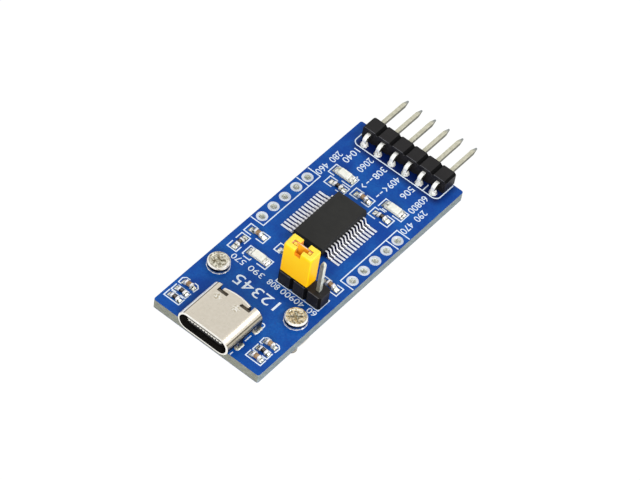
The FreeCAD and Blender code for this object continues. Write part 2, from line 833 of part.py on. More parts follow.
def screw(x, y):
    """A pan-head screw; its shank is stepped where it leaves the nut, as a thread's first turns are."""
    recess_level = head_height - recess_depth
    dish_level = head_height - head_dish_depth
    nut_under = -(pad_thickness + board_thickness + nut_height)
    tip_radius = screw_end_radius - screw_end_chamfer
    head = revolved([
        (0, -screw_length), (tip_radius, -screw_length),
        (screw_end_radius, -screw_length + screw_end_chamfer), (screw_end_radius, nut_under),
        (screw_radius, nut_under), (screw_radius, 0),
        (head_width / 2, 0), (head_width / 2, head_rim_height),
        (head_top_width / 2, head_height), (head_dish_width / 2, head_height),
        (head_dish_width / 2, dish_level), (0, dish_level),
    ])
    half = recess_width / 2
    span = recess_span / 2
    cross = [box(-span, span, -half, half, recess_level, head_height + beyond),
             box(-half, half, -span, span, recess_level, head_height + beyond)]
    head = head.cut(Part.makeCompound(cross))
    return moved(turned(head, 45), x, y, pad_thickness)


def nut(x, y):
    flat = nut_across_flats / 2
    corner = flat / math.cos(math.pi / 6)
    prism = Part.Face(closed_polygon(ring(6, corner, 0))).extrude(FreeCAD.Vector(0, 0, nut_height))
    outer = corner + nut_chamfer
    drop = (outer - flat) * nut_chamfer_slope
    limit = revolved([(0, 0), (flat, 0), (outer, drop), (outer, nut_height), (0, nut_height)])
    shape = prism.common(limit).cut(cylinder(0, 0, -beyond, nut_height + beyond, screw_radius))
    return moved(shape, x, y, board_bottom - nut_height)


def part_solid(x0, x1, width, z0, z1):
    return box(x0, x1, -width / 2, width / 2, z0, z1)


def placed(shapes, x, y, along):
    angle = 90 if along else 0
    return [moved(turned(shape, angle), x, y) for shape in shapes]


def part_height(kind):
    return capacitor_height if kind == "capacitor" else resistor_height


def small_part_body(kind, x, y, along):
    inner = chip_part_length / 2 - end_length
    height = part_height(kind)
    low = pad_thickness + fit_gap
    body = part_solid(-inner, inner, chip_part_width - fit_gap, low, pad_thickness + height)
    return placed([body], x, y, along)[0]


def small_part_ends(kind, x, y, along):
    outer = chip_part_length / 2
    high = pad_thickness + part_height(kind) + fit_gap
    end = part_solid(outer - end_length, outer, chip_part_width, pad_thickness, high)
    return placed([end, turned(end, 180)], x, y, along)


def terminals(wanted):
    solids = []
    for kind, x, y, along, pads_kind in SMALL_PARTS.values():
        if kind == wanted:
            solids += small_part_ends(kind, x, y, along)
    return Part.makeCompound(solids)


def wedge(start, length, width, height):
    """Solder against an end face, sloping down to the outer end of its pad."""
    base = pad_thickness
    points = [(start, base), (start + length, base), (start, base + height)]
    return extruded(points, [0, 0, 0], "xz", -width / 2, width / 2)


def component_solder():
    solids = []
    for kind, x, y, along, pads_kind in SMALL_PARTS.values():
        length, width, gap = pad_sizes(pads_kind)
        start = chip_part_length / 2
        rise = part_height(kind) * solder_climb
        fillet = wedge(start, gap / 2 + length - start, chip_part_width, rise)
        solids += placed([fillet, turned(fillet, 180)], x, y, along)
    for x, y in LEDS.values():
        length, width, gap = pad_sizes("led")
        start = led_length / 2 + led_end_thickness
        fillet = wedge(start, gap / 2 + length - start, led_width, led_base_height * solder_climb)
        solids += placed([fillet, turned(fillet, 180)], x, y, False)
    return Part.makeCompound(solids)


def led_base(x, y):
    half = led_length / 2
    high = pad_thickness + led_base_height
    return moved(part_solid(-half, half, led_width, pad_thickness, high), x, y)


def led_lens(x, y):
    low = pad_thickness + led_base_height
    high = low + led_lens_height
    foot = led_lens_length / 2
    top = led_lens_top_length / 2
    points = [(-foot, low), (foot, low), (top, high), (-top, high)]
    return moved(extruded(points, [0] * 4, "xz", -led_width / 2, led_width / 2), x, y)


def led_ends():
    solids = []
    high = pad_thickness + led_base_height
    top_level = high + led_end_thickness
    half = led_length / 2
    outer = half + led_end_thickness
    for x, y in LEDS.values():
        side = part_solid(half, outer, led_width, pad_thickness, top_level)
        top = part_solid(half - led_end_length, outer, led_width, high, top_level)
        end = fused([side, top])
        solids += placed([end, turned(end, 180)], x, y, False)
    return Part.makeCompound(solids)


def all_pieces():
    pieces = {
        "circuit_board": circuit_board(),
        "side_hole_plating": side_hole_plating(),
        "surface_pads": surface_pads(),
        "chip_body": chip_body(),
        "chip_leads": chip_leads(),
        "usb_shell": usb_shell(),
        "usb_insulator": usb_insulator(),
        "usb_mid_plate": usb_mid_plate(),
        "usb_contacts": usb_contacts(),
        "usb_solder": usb_solder(),
        "pin_header_body": pin_header_body(),
        "pin_header_pins": pin_header_pins(),
        "pin_header_solder": pin_header_solder(),
        "selector_body": selector_body(),
        "selector_pins": selector_pins_row(),
        "selector_solder": selector_solder(),
        "jumper_cap": jumper_cap(),
        "jumper_contact": jumper_contact(),
        "capacitor_terminals": terminals("capacitor"),
        "resistor_terminals": terminals("resistor"),
        "led_terminals": led_ends(),
        "component_solder": component_solder(),
    }
    for side, (x, y) in screw_places.items():
        pieces["screw_" + side] = screw(x, y)
        pieces["nut_" + side] = nut(x, y)
    for name, (kind, x, y, along, pads_kind) in SMALL_PARTS.items():
        pieces[name] = small_part_body(kind, x, y, along)
    for name, (x, y) in LEDS.items():
        pieces[name + "_base"] = led_base(x, y)
        pieces[name + "_lens"] = led_lens(x, y)
    return pieces


def main():
    pin_end = header_hole_y + header_block_gap + cell_size + header_pin_reach
    middle_y = (shell_front + pin_end) / 2
    lift = screw_length - pad_thickness
    os.makedirs("parts", exist_ok=True)
    for name, shape in all_pieces().items():
        moved(shape, 0, -middle_y, lift).exportStep("parts/" + name + ".step")


main()
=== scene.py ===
import math

import bmesh
import bpy
from mathutils import Matrix, Vector


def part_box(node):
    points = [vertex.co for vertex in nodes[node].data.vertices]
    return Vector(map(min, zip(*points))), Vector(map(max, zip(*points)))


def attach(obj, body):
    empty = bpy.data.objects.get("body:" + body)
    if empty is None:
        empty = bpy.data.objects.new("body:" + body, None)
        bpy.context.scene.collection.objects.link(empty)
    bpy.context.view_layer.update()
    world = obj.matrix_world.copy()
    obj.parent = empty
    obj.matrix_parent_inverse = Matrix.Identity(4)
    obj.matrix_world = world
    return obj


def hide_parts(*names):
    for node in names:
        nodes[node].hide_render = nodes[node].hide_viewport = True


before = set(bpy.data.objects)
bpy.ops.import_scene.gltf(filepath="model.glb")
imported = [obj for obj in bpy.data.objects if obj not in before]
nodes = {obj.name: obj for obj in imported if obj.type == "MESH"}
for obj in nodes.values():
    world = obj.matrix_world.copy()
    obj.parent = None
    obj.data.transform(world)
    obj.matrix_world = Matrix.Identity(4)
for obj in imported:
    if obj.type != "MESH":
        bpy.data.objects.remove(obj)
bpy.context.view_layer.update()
print("frame loaded:", len(nodes), "nodes")

# Everything new is modelled in millimetres on the board: x from its middle line, y from the USB end,
# z up from its top face. boardPlace takes that to the frame.
boardLow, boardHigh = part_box("circuit_board")
boardOrigin = Vector(((boardLow.x + boardHigh.x) / 2, boardLow.y, boardHigh.z))
boardPlace = Matrix.Translation(boardOrigin) @ Matrix.Scale(0.001, 4)
board = {
    "width": (boardHigh.x - boardLow.x) * 1000,
    "thickness": (boardHigh.z - boardLow.z) * 1000,
    "softness": 0.03,  # how wide the laminate's edges are rounded
    "maskThickness": 0.03,
    "inkThickness": 0.018,
    "inkSunk": 0.005,  # how deep the ink reaches into the mask
}


def nodeBox(name):
    low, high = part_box(name)
    back = boardPlace.inverted()
    return back @ Vector(low), back @ Vector(high)


# Finishes

def srgb(red, green, blue):
    linear = []
    for part in (red, green, blue):
        value = part / 255
        linear.append(value / 12.92 if value <= 0.04045 else ((value + 0.055) / 1.055) ** 2.4)
    return (*linear, 1.0)


class Flow:
    # one output socket that can be added, multiplied and so on
    def __init__(self, graph, socket):
        self.graph = graph
        self.socket = socket

    def sum(self, operation, first, second):
        return self.graph.add("ShaderNodeMath", {"operation": operation}, {0: first, 1: second})

    def __add__(self, other):
        return self.sum("ADD", self, other)

    def __radd__(self, other):
        return self.sum("ADD", other, self)

    def __sub__(self, other):
        return self.sum("SUBTRACT", self, other)

    def __rsub__(self, other):
        return self.sum("SUBTRACT", other, self)

    def __mul__(self, other):
        return self.sum("MULTIPLY", self, other)

    def __rmul__(self, other):
        return self.sum("MULTIPLY", other, self)


class Graph:
    # the nodes of a material or of the world
    def __init__(self, owner):
        owner.use_nodes = True
        self.tree = owner.node_tree

    def fill(self, node, inputs):
        for key, value in inputs.items():
            if isinstance(value, Flow):
                self.tree.links.new(value.socket, node.inputs[key])
            else:
                node.inputs[key].default_value = value

    def add(self, kind, settings=None, inputs=None, out=0):
        # a node's type, its settings, and the values or links of its sockets
        node = self.tree.nodes.new(kind)
        for key, value in (settings or {}).items():
            setattr(node, key, value)
        self.fill(node, inputs or {})
        return Flow(self, node.outputs[out])

    def between(self, flow, low, high, start=0.0, end=1.0):
        return self.add("ShaderNodeMapRange", None, {"Value": flow, "From Min": low, "From Max": high,
                                                     "To Min": start, "To Max": end})

    def blend(self, factor, first, second):
        first, second = (part if isinstance(part, Flow) else srgb(*part) for part in (first, second))
        return self.add("ShaderNodeMix", {"data_type": "RGBA"}, {0: factor, 6: first, 7: second}, out=2)

    def grade(self, flow, low, high, first, second):
        # from one colour to the other as a value goes between two limits
        return self.blend(self.between(flow, low, high), first, second)


class Finish(Graph):
    def __init__(self, name, colour, roughness, metallic=0.0, coat=0.0, coatRoughness=0.1, specular=0.5):
        self.material = bpy.data.materials.new(name)
        super().__init__(self.material)
        self.shader = self.tree.nodes["Principled BSDF"]
        self.fill(self.shader, {"Base Color": srgb(*colour), "Roughness": roughness, "Metallic": metallic,
                                "Coat Weight": coat, "Coat Roughness": coatRoughness,
                                "Specular IOR Level": specular})

    def place(self, stretch=(1, 1, 1)):
        # object coordinates in millimetres, stretched for grain
        coordinates = self.add("ShaderNodeTexCoord", out="Object")
        return self.add("ShaderNodeMapping", None, {"Vector": coordinates, "Scale": [1000 * s for s in stretch]})

    def along(self, axis):
        # how far along one of the board's axes, in millimetres
        part = self.add("ShaderNodeSeparateXYZ", None, {0: self.place()}, out=axis)
        return part - getattr(boardOrigin, axis.lower()) * 1000

    def noise(self, scale, detail, stretch=(1, 1, 1)):
        return self.add("ShaderNodeTexNoise", None,
                        {"Vector": self.place(stretch), "Scale": scale, "Detail": detail})

    def feed(self, socket, flow):
        self.fill(self.shader, {socket: flow})
        return self

    def glow(self, colour, strength):
        # painted light: an emission that stands in for the light that clear plastic lets through
        self.fill(self.shader, {"Emission Color": srgb(*colour), "Emission Strength": strength})
        return self

    def bump(self, height, distance):
        bumped = self.add("ShaderNodeBump", None, {"Height": height, "Distance": distance / 1000})
        return self.feed("Normal", bumped)


def laminateFinish(name, light, dark):
    finish = Finish(name, light, 0.75)
    layers = finish.noise(9.0, 3.0, (0.12, 0.12, 1.6))
    fibre = finish.noise(14.0, 2.0)
    tone = finish.grade(layers, 0.35, 0.65, dark, light)
    shade = [part * 0.8 for part in dark]
    finish.feed("Base Color", finish.blend(finish.between(fibre, 0.4, 0.75, 0, 0.5), tone, shade))
    return finish.bump(layers * 0.6 + fibre * 0.4, 0.03)


# Where little light comes the mask is a deeper blue. Each zone: the node that it lies under, how far its
# left, right, near and far limits are moved, how soft they are, and its share of the deeper blue.
deepMask = {
    "colour": (6, 10, 70),
    "fade": (-0.3, -0.1),  # only the top face takes it
    "zones": (
        ("pin_header_body", (0, 0.5, -2.3, 0), 0.6, 0.85),
        ("chip_leads", (-1.2, 1.2, 0, 0), 0.3, 0.8),
        ("chip_leads", (0, 0, 0, 0), 0.3, 0.9),
    ),
}


def maskFinish():
    finish = Finish("blueMask", (8, 72, 156), 0.36, specular=0.16)
    cloud = finish.noise(0.28, 3.0)
    grain = finish.noise(3.2, 3.0)
    weave = finish.noise(9.0, 2.0)
    tone = finish.grade(cloud, 0.36, 0.64, (8, 68, 154), (18, 90, 172))
    tone = finish.blend(finish.between(grain, 0.35, 0.7, 0, 0.45), tone, (8, 54, 142))
    across, along, height = (finish.along(axis) for axis in "XYZ")
    top = finish.between(height, *deepMask["fade"])
    for node, (left, right, near, far), soft, share in deepMask["zones"]:
        low, high = nodeBox(node)
        deep = top * share
        for way, start, end in ((across, low.x + left, high.x + right), (along, low.y + near, high.y + far)):
            deep = deep * finish.between(way, start - soft, start + soft)
            deep = deep * finish.between(way, end + soft, end - soft)
        tone = finish.blend(deep, tone, deepMask["colour"])
    finish.feed("Base Color", tone)
    finish.feed("Roughness", finish.between(grain, 0.3, 0.7, 0.28, 0.44))
    return finish.bump(grain * 0.7 + weave * 0.3, 0.004)


def inkFinish():
    finish = Finish("whiteInk", (236, 246, 255), 0.6, specular=0.2)
    speckle = finish.noise(12.0, 3.0)
    share = finish.between(speckle, 0.35, 0.75)
    finish.feed("Base Color", finish.blend(share, (238, 248, 255), (206, 222, 242)))
    return finish.bump(speckle, 0.004)


def metalFinish(name, light, dark, roughness, grainScale=6.0, stretch=(1, 1, 1), bump=0.002, metallic=1.0):
    finish = Finish(name, light, roughness, metallic=metallic)
    patch = finish.noise(grainScale * 0.35, 3.0)
    grain = finish.noise(grainScale, 3.0, stretch)
    finish.feed("Base Color", finish.grade(patch, 0.35, 0.7, light, dark))
    finish.feed("Roughness", finish.between(grain, 0.3, 0.7, roughness * 0.8, roughness * 1.25))
    return finish.bump(grain, bump)


def headerPinFinish():
    # bright where they are tinned, champagne behind the block, greyer at the tips
    finish = Finish("headerPins", (214, 210, 188), 0.4, metallic=0.6)
    along = finish.along("Y")
    front = nodeBox("pin_header_body")[0].y
    tip = nodeBox("pin_header_pins")[1].y
    change = (front - 0.1, front + 0.2)
    patch = finish.noise(2.2, 3.0)
    body = finish.grade(patch, 0.35, 0.7, (214, 211, 190), (190, 188, 166))
    tinned = finish.blend(finish.between(along, *change), (250, 250, 246), body)
    atTip = finish.between(along, tip - 1.1, tip - 0.3)
    finish.feed("Base Color", finish.blend(atTip, tinned, (140, 146, 146)))
    finish.feed("Metallic", finish.between(along, *change, 0.3, 0.6))
    return finish.bump(patch, 0.004)


weldMarks = {
    "places": ((-2.05, 4.5), (1.1, 4.62)),
    "level": 3.2,
    "edge": 0.72,  # radii between which a mark fades in
    "core": 0.46,
}


def shellFinish():
    # satin nickel with two rough weld marks on the roof
    finish = Finish("shellNickel", (226, 218, 203), 0.33, metallic=1.0)
    patch = finish.noise(2.4, 3.0)
    grain = finish.noise(7.0, 3.0, (1, 0.08, 1))
    rough = finish.noise(3.6, 2.0)
    marks = 0
    for x, y in weldMarks["places"]:
        spot = Vector((x, y, weldMarks["level"])) + boardOrigin * 1000
        away = finish.add("ShaderNodeVectorMath", {"operation": "DISTANCE"},
                          {0: finish.place(), 1: list(spot)}, out="Value")
        marks = marks + finish.between(away, weldMarks["edge"], weldMarks["core"])
    tone = finish.grade(patch, 0.35, 0.7, (226, 218, 203), (219, 211, 195))
    mottled = finish.grade(rough, 0.42, 0.6, (194, 183, 158), (252, 249, 240))
    finish.feed("Base Color", finish.blend(marks, tone, mottled))
    finish.feed("Roughness", finish.between(grain, 0.3, 0.7, 0.27, 0.4))
    return finish.bump(grain * 0.03 + marks * rough * 0.7, 0.07)


def solderFinish(name, bright, dark, share, metallic=0.5):
    # rough solder whose small facets are drawn as light and dark speckles: painted reflections in its colour
    finish = Finish(name, bright, 0.25, metallic=metallic)
    facets = finish.noise(3.4, 3.0)
    tint = finish.noise(1.3, 2.0)
    light = finish.grade(tint, 0.4, 0.62, bright, (224, 226, 214))
    finish.feed("Base Color", finish.blend(finish.between(facets, share - 0.06, share + 0.06), dark, light))
    return finish.bump(facets, 0.06)


def screwSideFinish():
    # a head's side is dark under the rim with painted shade, and pale at its foot with a painted reflection
    finish = Finish("screwSideShadeAndReflection", (90, 90, 90), 0.28, metallic=1.0)
    foot = 0.38  # height of the pale foot
    patch = finish.noise(0.9, 2.0)
    band = finish.grade(patch, 0.42, 0.66, (38, 38, 42), (150, 146, 136))
    above = finish.between(finish.along("Z"), foot - 0.06, foot + 0.05)
    return finish.feed("Base Color", finish.blend(above, (226, 224, 218), band))


def jumperFinish(name, through):
    # yellow plastic that deepens towards orange lower down as painted shade, and glows with painted light for
    # what it lets through
    finish = Finish(name, (255, 210, 44), 0.36, specular=0.2).glow((255, 190, 6), through)
    low, high = nodeBox("jumper_cap")
    rise = finish.between(finish.along("Z"), low.z + 0.4, high.z)
    grain = finish.noise(6.0, 3.0)
    patch = finish.noise(0.9, 2.0, (1, 1, 0.3))
    tone = finish.blend(rise, (255, 190, 0), (255, 216, 34))
    tone = finish.blend(finish.between(patch, 0.4, 0.66, 0, 0.5), tone, (255, 200, 10))
    finish.feed("Base Color", tone)
    return finish.bump(grain, 0.004)


def dishFinish():
    # the rough plated hollow of a screw's head, whose light and dark spots are painted reflections
    finish = Finish("screwDish", (190, 180, 150), 0.32, metallic=0.55)
    spots = finish.noise(3.4, 2.0)
    tint = finish.noise(1.6, 2.0)
    tone = finish.grade(spots, 0.38, 0.62, (120, 114, 92), (240, 236, 216))
    finish.feed("Base Color", finish.blend(finish.between(tint, 0.45, 0.6, 0, 0.25), tone, (206, 190, 170)))
    return finish.bump(spots, 0.06)


def threadFinish():
    # painted shade: the thread is dark between its turns
    finish = Finish("screwThread", (190, 184, 168), 0.35, metallic=1.0)
    turns = finish.add("ShaderNodeTexWave", {"bands_direction": "Z", "wave_profile": "TRI"},
                       {"Vector": finish.place(), "Scale": 0.8})
    finish.feed("Base Color", finish.blend(turns, (90, 86, 76), (214, 208, 192)))
    return finish.bump(turns, 0.12)


def mouldedFinish(name, light, dark, roughness, grainScale=10.0, bump=0.005, coat=0.0, specular=0.25):
    finish = Finish(name, light, roughness, coat=coat, coatRoughness=0.25, specular=specular)
    grain = finish.noise(grainScale, 4.0)
    patch = finish.noise(0.8, 2.0)
    mask = finish.between(grain, 0.35, 0.68) * 0.7 + finish.between(patch, 0.35, 0.65) * 0.3
    finish.feed("Base Color", finish.blend(mask, dark, light))
    finish.feed("Roughness", finish.between(grain, 0.3, 0.7, roughness * 0.88, min(1.0, roughness * 1.12)))
    return finish.bump(grain, bump)


allFinishes = (
    laminateFinish("laminateEnd", (172, 174, 163), (114, 118, 106)),
    laminateFinish("laminateSideShade", (172, 184, 186), (120, 132, 134)),
    maskFinish(),
    inkFinish(),
    metalFinish("tinnedCopper", (242, 246, 252), (218, 222, 230), 0.42, bump=0.004, metallic=0.5),
    metalFinish("eyeletTin", (224, 231, 241), (198, 206, 218), 0.36, 3.0, bump=0.01, metallic=0.5),
    solderFinish("eyeletTubePaintedLight", (254, 255, 254), (186, 192, 182), 0.45, 0.2),
    metalFinish("padPaintedShade", (118, 126, 116), (84, 92, 84), 0.42, 3.0, metallic=0.6),
    solderFinish("brightSolder", (255, 253, 248), (96, 100, 88), 0.42),
    solderFinish("pinSolder", (255, 253, 246), (160, 154, 138), 0.38, 0.2),
    solderFinish("legSolder", (250, 250, 240), (112, 114, 96), 0.4, 0.35),
    solderFinish("solderShadeBand", (150, 154, 140), (44, 46, 40), 0.52),
    metalFinish("tinnedLead", (250, 250, 252), (228, 228, 232), 0.34, metallic=0.45),
    metalFinish("leadShade", (46, 46, 52), (24, 24, 30), 0.5, metallic=0.3),
    shellFinish(),
    metalFinish("shellRimHighlight", (252, 250, 244), (238, 234, 224), 0.25, 4.0, metallic=0.7),
    metalFinish("shellGleam", (250, 252, 255), (234, 236, 240), 0.3, 5.0, (1, 0.1, 1), metallic=0.45),
    metalFinish("shellLine", (132, 124, 108), (104, 98, 84), 0.3, 5.0),
    metalFinish("shellSide", (196, 188, 168), (178, 170, 150), 0.3, 5.0, (1, 0.1, 1)),
    metalFinish("shellFootShade", (74, 72, 62), (42, 42, 38), 0.35, 3.0),
    mouldedFinish("slotFloor", (122, 114, 102), (72, 66, 58), 0.5, 2.4),
    metalFinish("contactComb", (250, 248, 240), (214, 208, 194), 0.3, 5.0, metallic=0.6),
    metalFinish("shellShadow", (40, 37, 33), (24, 22, 20), 0.5, 7.0, (1, 0.08, 1), metallic=0.4),
    metalFinish("screwNickel", (222, 217, 206), (196, 188, 170), 0.24, 4.0),
    metalFinish("screwRimHighlight", (252, 250, 244), (236, 232, 222), 0.16, 4.0, metallic=0.5),
    screwSideFinish(),
    dishFinish(),
    threadFinish(),
    headerPinFinish(),
    metalFinish("nutNickel", (216, 211, 200), (192, 184, 168), 0.32, 5.0),
    metalFinish("pinPlating", (214, 210, 188), (192, 188, 164), 0.4, 7.0, (1, 0.2, 0.2), metallic=0.7),
    metalFinish("pinShade", (120, 118, 104), (84, 82, 70), 0.4, 5.0, metallic=0.8),
    metalFinish("pinFrontShade", (186, 184, 166), (150, 148, 130), 0.4, 3.0, metallic=0.7),
    metalFinish("pinHighlight", (246, 248, 240), (214, 218, 204), 0.34, 4.0, metallic=0.5),
    metalFinish("pinCapLight", (252, 222, 96), (232, 190, 60), 0.45, 3.0, metallic=0.0),
    metalFinish("clipCapReflection", (255, 206, 60), (250, 180, 30), 0.4, 1.6, metallic=0.0).glow(
        (226, 140, 10), 0.2),
    metalFinish("clipTopHighlight", (255, 226, 206), (246, 200, 170), 0.36, metallic=0.2),
    metalFinish("flapHighlight", (252, 250, 244), (236, 232, 222), 0.35, 4.0, metallic=0.1),
    metalFinish("contactGold", (226, 214, 180), (205, 186, 140), 0.28),
    mouldedFinish("chipEpoxy", (44, 44, 42), (32, 32, 31), 0.62, 12.0, 0.006),
    mouldedFinish("headerPlastic", (31, 29, 30), (18, 17, 18), 0.5, 9.0, 0.008),
    mouldedFinish("headerEdge", (104, 104, 108), (58, 58, 62), 0.4, 3.0, 0.006),
    mouldedFinish("headerGrooveShade", (6, 6, 7), (3, 3, 4), 0.7, specular=0.1),
    mouldedFinish("insulatorPlastic", (22, 22, 23), (13, 13, 14), 0.55),
    jumperFinish("jumperPlastic", 0.06),
    jumperFinish("jumperSideLit", 0.24),
    mouldedFinish("jumperTopLit", (255, 230, 84), (255, 218, 58), 0.38, 4.0, 0.004, specular=0.35),
    mouldedFinish("jumperInsideLight", (250, 176, 40), (226, 128, 10), 0.5, 1.2, 0.004),
    mouldedFinish("capacitorCeramic", (186, 158, 122), (134, 104, 74), 0.5, 1.6),
    mouldedFinish("resistorFilm", (30, 28, 28), (18, 17, 18), 0.35, 6.0),
    mouldedFinish("resistorMark", (128, 118, 110), (84, 78, 74), 0.5, 6.0),
    mouldedFinish("ledBase", (226, 224, 208), (205, 204, 186), 0.5),
    mouldedFinish("ledResin", (250, 250, 242), (230, 232, 218), 0.18, 3.0, 0.004, coat=0.5),
)
finishes = {finish.material.name: finish for finish in allFinishes}
print("finishes made:", len(finishes))


# Mesh tools: lengths in millimetres, angles in degrees

meshLimits = {
    "merge": 0.0008,  # corners of a node's triangles that are one
    "weld": 0.0005,  # the same in a mesh of this script
    "flat": 0.5,  # faces that are one
    "sharp": 32,  # edges that are softened
    "smooth": 35,  # edges that are shaded smooth
}


def toMesh(name, bm):
    data = bpy.data.meshes.new(name)
    bm.to_mesh(data)
    bm.free()
    return data


def newObject(name, data):
    made = bpy.data.objects.new(name, data)
    bpy.context.scene.collection.objects.link(made)
    return made


def joinTo(bm, part):
    data = toMesh("part", part)
    bm.from_mesh(data)
    bpy.data.meshes.remove(data)


def addPiece(name, bm, looks, body="adapter", replaces=(), smoothAngle=meshLimits["smooth"]):
    bmesh.ops.transform(bm, matrix=boardPlace, verts=bm.verts)
    bm.normal_update()
    data = toMesh(name, bm)
    piece = newObject(name, data)
    for look in looks:
        data.materials.append(finishes[look].material)
    data.shade_smooth()
    data.set_sharp_from_angle(angle=math.radians(smoothAngle))
    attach(piece, body)
    if replaces:
        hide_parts(*replaces)
    return piece


def nodeCopy(name):
    # a merged copy of a node's mesh, in board millimetres
    bm = bmesh.new()
    bm.from_mesh(nodes[name].data)
    bmesh.ops.transform(bm, matrix=boardPlace.inverted(), verts=bm.verts)
    bmesh.ops.remove_doubles(bm, verts=bm.verts, dist=meshLimits["merge"])
    bmesh.ops.dissolve_limit(bm, angle_limit=math.radians(meshLimits["flat"]), verts=bm.verts, edges=bm.edges)
    return bm


def softEdges(bm, width, segments=2):
    limit = math.radians(meshLimits["sharp"])
    sharp = [edge for edge in bm.edges if edge.is_manifold and edge.calc_face_angle(0) > limit]
    bmesh.ops.bevel(bm, geom=sharp, offset=width, offset_type="OFFSET", segments=segments,
                    profile=0.5, affect="EDGES", clamp_overlap=True, material=-1)
    return bm


def softCopy(node, finish, slot, width, segments, body="adapter", name=None, accents=(), shaped=None):
    # accents: further finishes, each with a test that says which faces take it
    # shaped: what is done to the copy before its edges are softened
    bm = nodeCopy(node)
    if shaped:
        shaped(bm)
    softEdges(bm, width, segments)
    bm.normal_update()
    for number, (accent, chosen) in enumerate(accents, 1):
        for face in bm.faces:
            if chosen(face, face.calc_center_median(), face.normal):
                face.material_index = number
    looks = [finish] + [accent for accent, chosen in accents]
    piece = addPiece(name or node + "_finished", bm, looks, body, (node,))
    weighted = piece.modifiers.new("evenShading", "WEIGHTED_NORMAL")
    weighted.keep_sharp = True
    return piece


ways = {"right": Vector((1, 0, 0)), "front": Vector((0, -1, 0)), "up": Vector((0, 0, 1))}


def facing(way, share):
    # a test for faces that look this way, by the share of their direction that does
    return lambda face, centre, normal: normal.dot(ways[way]) > share


solderFillet = {"softness": 0.05, "above": -0.5, "smooth": 50}


def drawnInSolder(node, finish, factor):
    # a copy of a solder node whose upper fillets are drawn in towards their middles
    bm = softEdges(nodeCopy(node), solderFillet["softness"])
    waiting = set(bm.verts)
    while waiting:
        island, edge = set(), {waiting.pop()}
        while edge:
            island |= edge
            edge = {link.other_vert(vert) for vert in edge for link in vert.link_edges} - island
        waiting -= island
        xs, ys = [v.co.x for v in island], [v.co.y for v in island]
        middle = Vector(((min(xs) + max(xs)) / 2, (min(ys) + max(ys)) / 2, 0))
        for vert in island:
            if vert.co.z > solderFillet["above"]:
                vert.co.x = middle.x + (vert.co.x - middle.x) * factor
                vert.co.y = middle.y + (vert.co.y - middle.y) * factor
    addPiece(node + "_drawn", bm, [finish], replaces=(node,), smoothAngle=solderFillet["smooth"])


def weld(bm):
    bmesh.ops.remove_doubles(bm, verts=bm.verts, dist=meshLimits["weld"])


def grow(bm):
    # extrudes all faces and gives the new corners
    grown = bmesh.ops.extrude_face_region(bm, geom=list(bm.faces))
    return {item for item in grown["geom"] if isinstance(item, bmesh.types.BMVert)}


def addBlock(bm, centre, size):
    made = bmesh.ops.create_cube(bm, size=1)["verts"]
    bmesh.ops.scale(bm, vec=size, verts=made)
    bmesh.ops.translate(bm, vec=centre, verts=made)


def lathe(bm, profile, centre, steps):
    # turns a profile of radius and height pairs about an upright axis
    points = [bm.verts.new((centre[0] + r, centre[1], z)) for r, z in profile]
    edges = [bm.edges.new(pair) for pair in zip(points, points[1:])]
    bmesh.ops.spin(bm, geom=points + edges, cent=(centre[0], centre[1], 0), axis=(0, 0, 1),
                   angle=2 * math.pi, steps=steps, use_merge=True)
    weld(bm)
    bmesh.ops.recalc_face_normals(bm, faces=bm.faces)


def ribbon(bm, points, width):
    # a flat ink line of even width, with mitred corners
    line = [Vector((x, y)) for x, y in points]
    ways = [(b - a).normalized() for a, b in zip(line, line[1:])]
    longestMitre = 0.4  # least share of the width that a corner's reach is divided by
    rails = ([], [])
    for i, point in enumerate(line):
        sides = [Vector((-way.y, way.x)) for way in ways[max(0, i - 1):i + 1]]
        normal = sum(sides, Vector((0, 0))).normalized()
        reach = width / 2 / max(longestMitre, normal.dot(sides[0]))
        for rail, side in zip(rails, (1, -1)):
            rail.append(bm.verts.new((point.x + side * reach * normal.x, point.y + side * reach * normal.y, 0)))
    left, right = rails
    for i in range(len(line) - 1):
        bm.faces.new((right[i], right[i + 1], left[i + 1], left[i]))


def arc(centre, radius, start, end, steps=6):
    angles = [math.radians(start + (end - start) * i / steps) for i in range(steps + 1)]
    return [(centre[0] + radius * math.cos(a), centre[1] + radius * math.sin(a)) for a in angles]


def thicken(bm, low, high):
    # turns flat faces into a plate between two levels
    for vert in bm.verts:
        vert.co.z = low
    for vert in grow(bm):
        vert.co.z = high
    bmesh.ops.recalc_face_normals(bm, faces=bm.faces)


# Board

# painted shade: the board's sides take a greyer, bluer copy of the laminate than its ends
def boardSide(face, centre, normal):
    return abs(normal.x) > 0.7


def makeBoard():
    softCopy("circuit_board", "laminateEnd", "board", board["softness"], 1, name="laminate",
             accents=[("laminateSideShade", boardSide)])
    for name, up in (("mask_top", 1), ("mask_bottom", -1)):
        bm = nodeCopy("circuit_board")
        away = [face for face in bm.faces if face.normal.z * up < 0.9]
        bmesh.ops.delete(bm, geom=away, context="FACES")
        level = 0 if up > 0 else -board["thickness"]
        thicken(bm, level, level + up * board["maskThickness"])
        addPiece(name, bm, ["blueMask"])


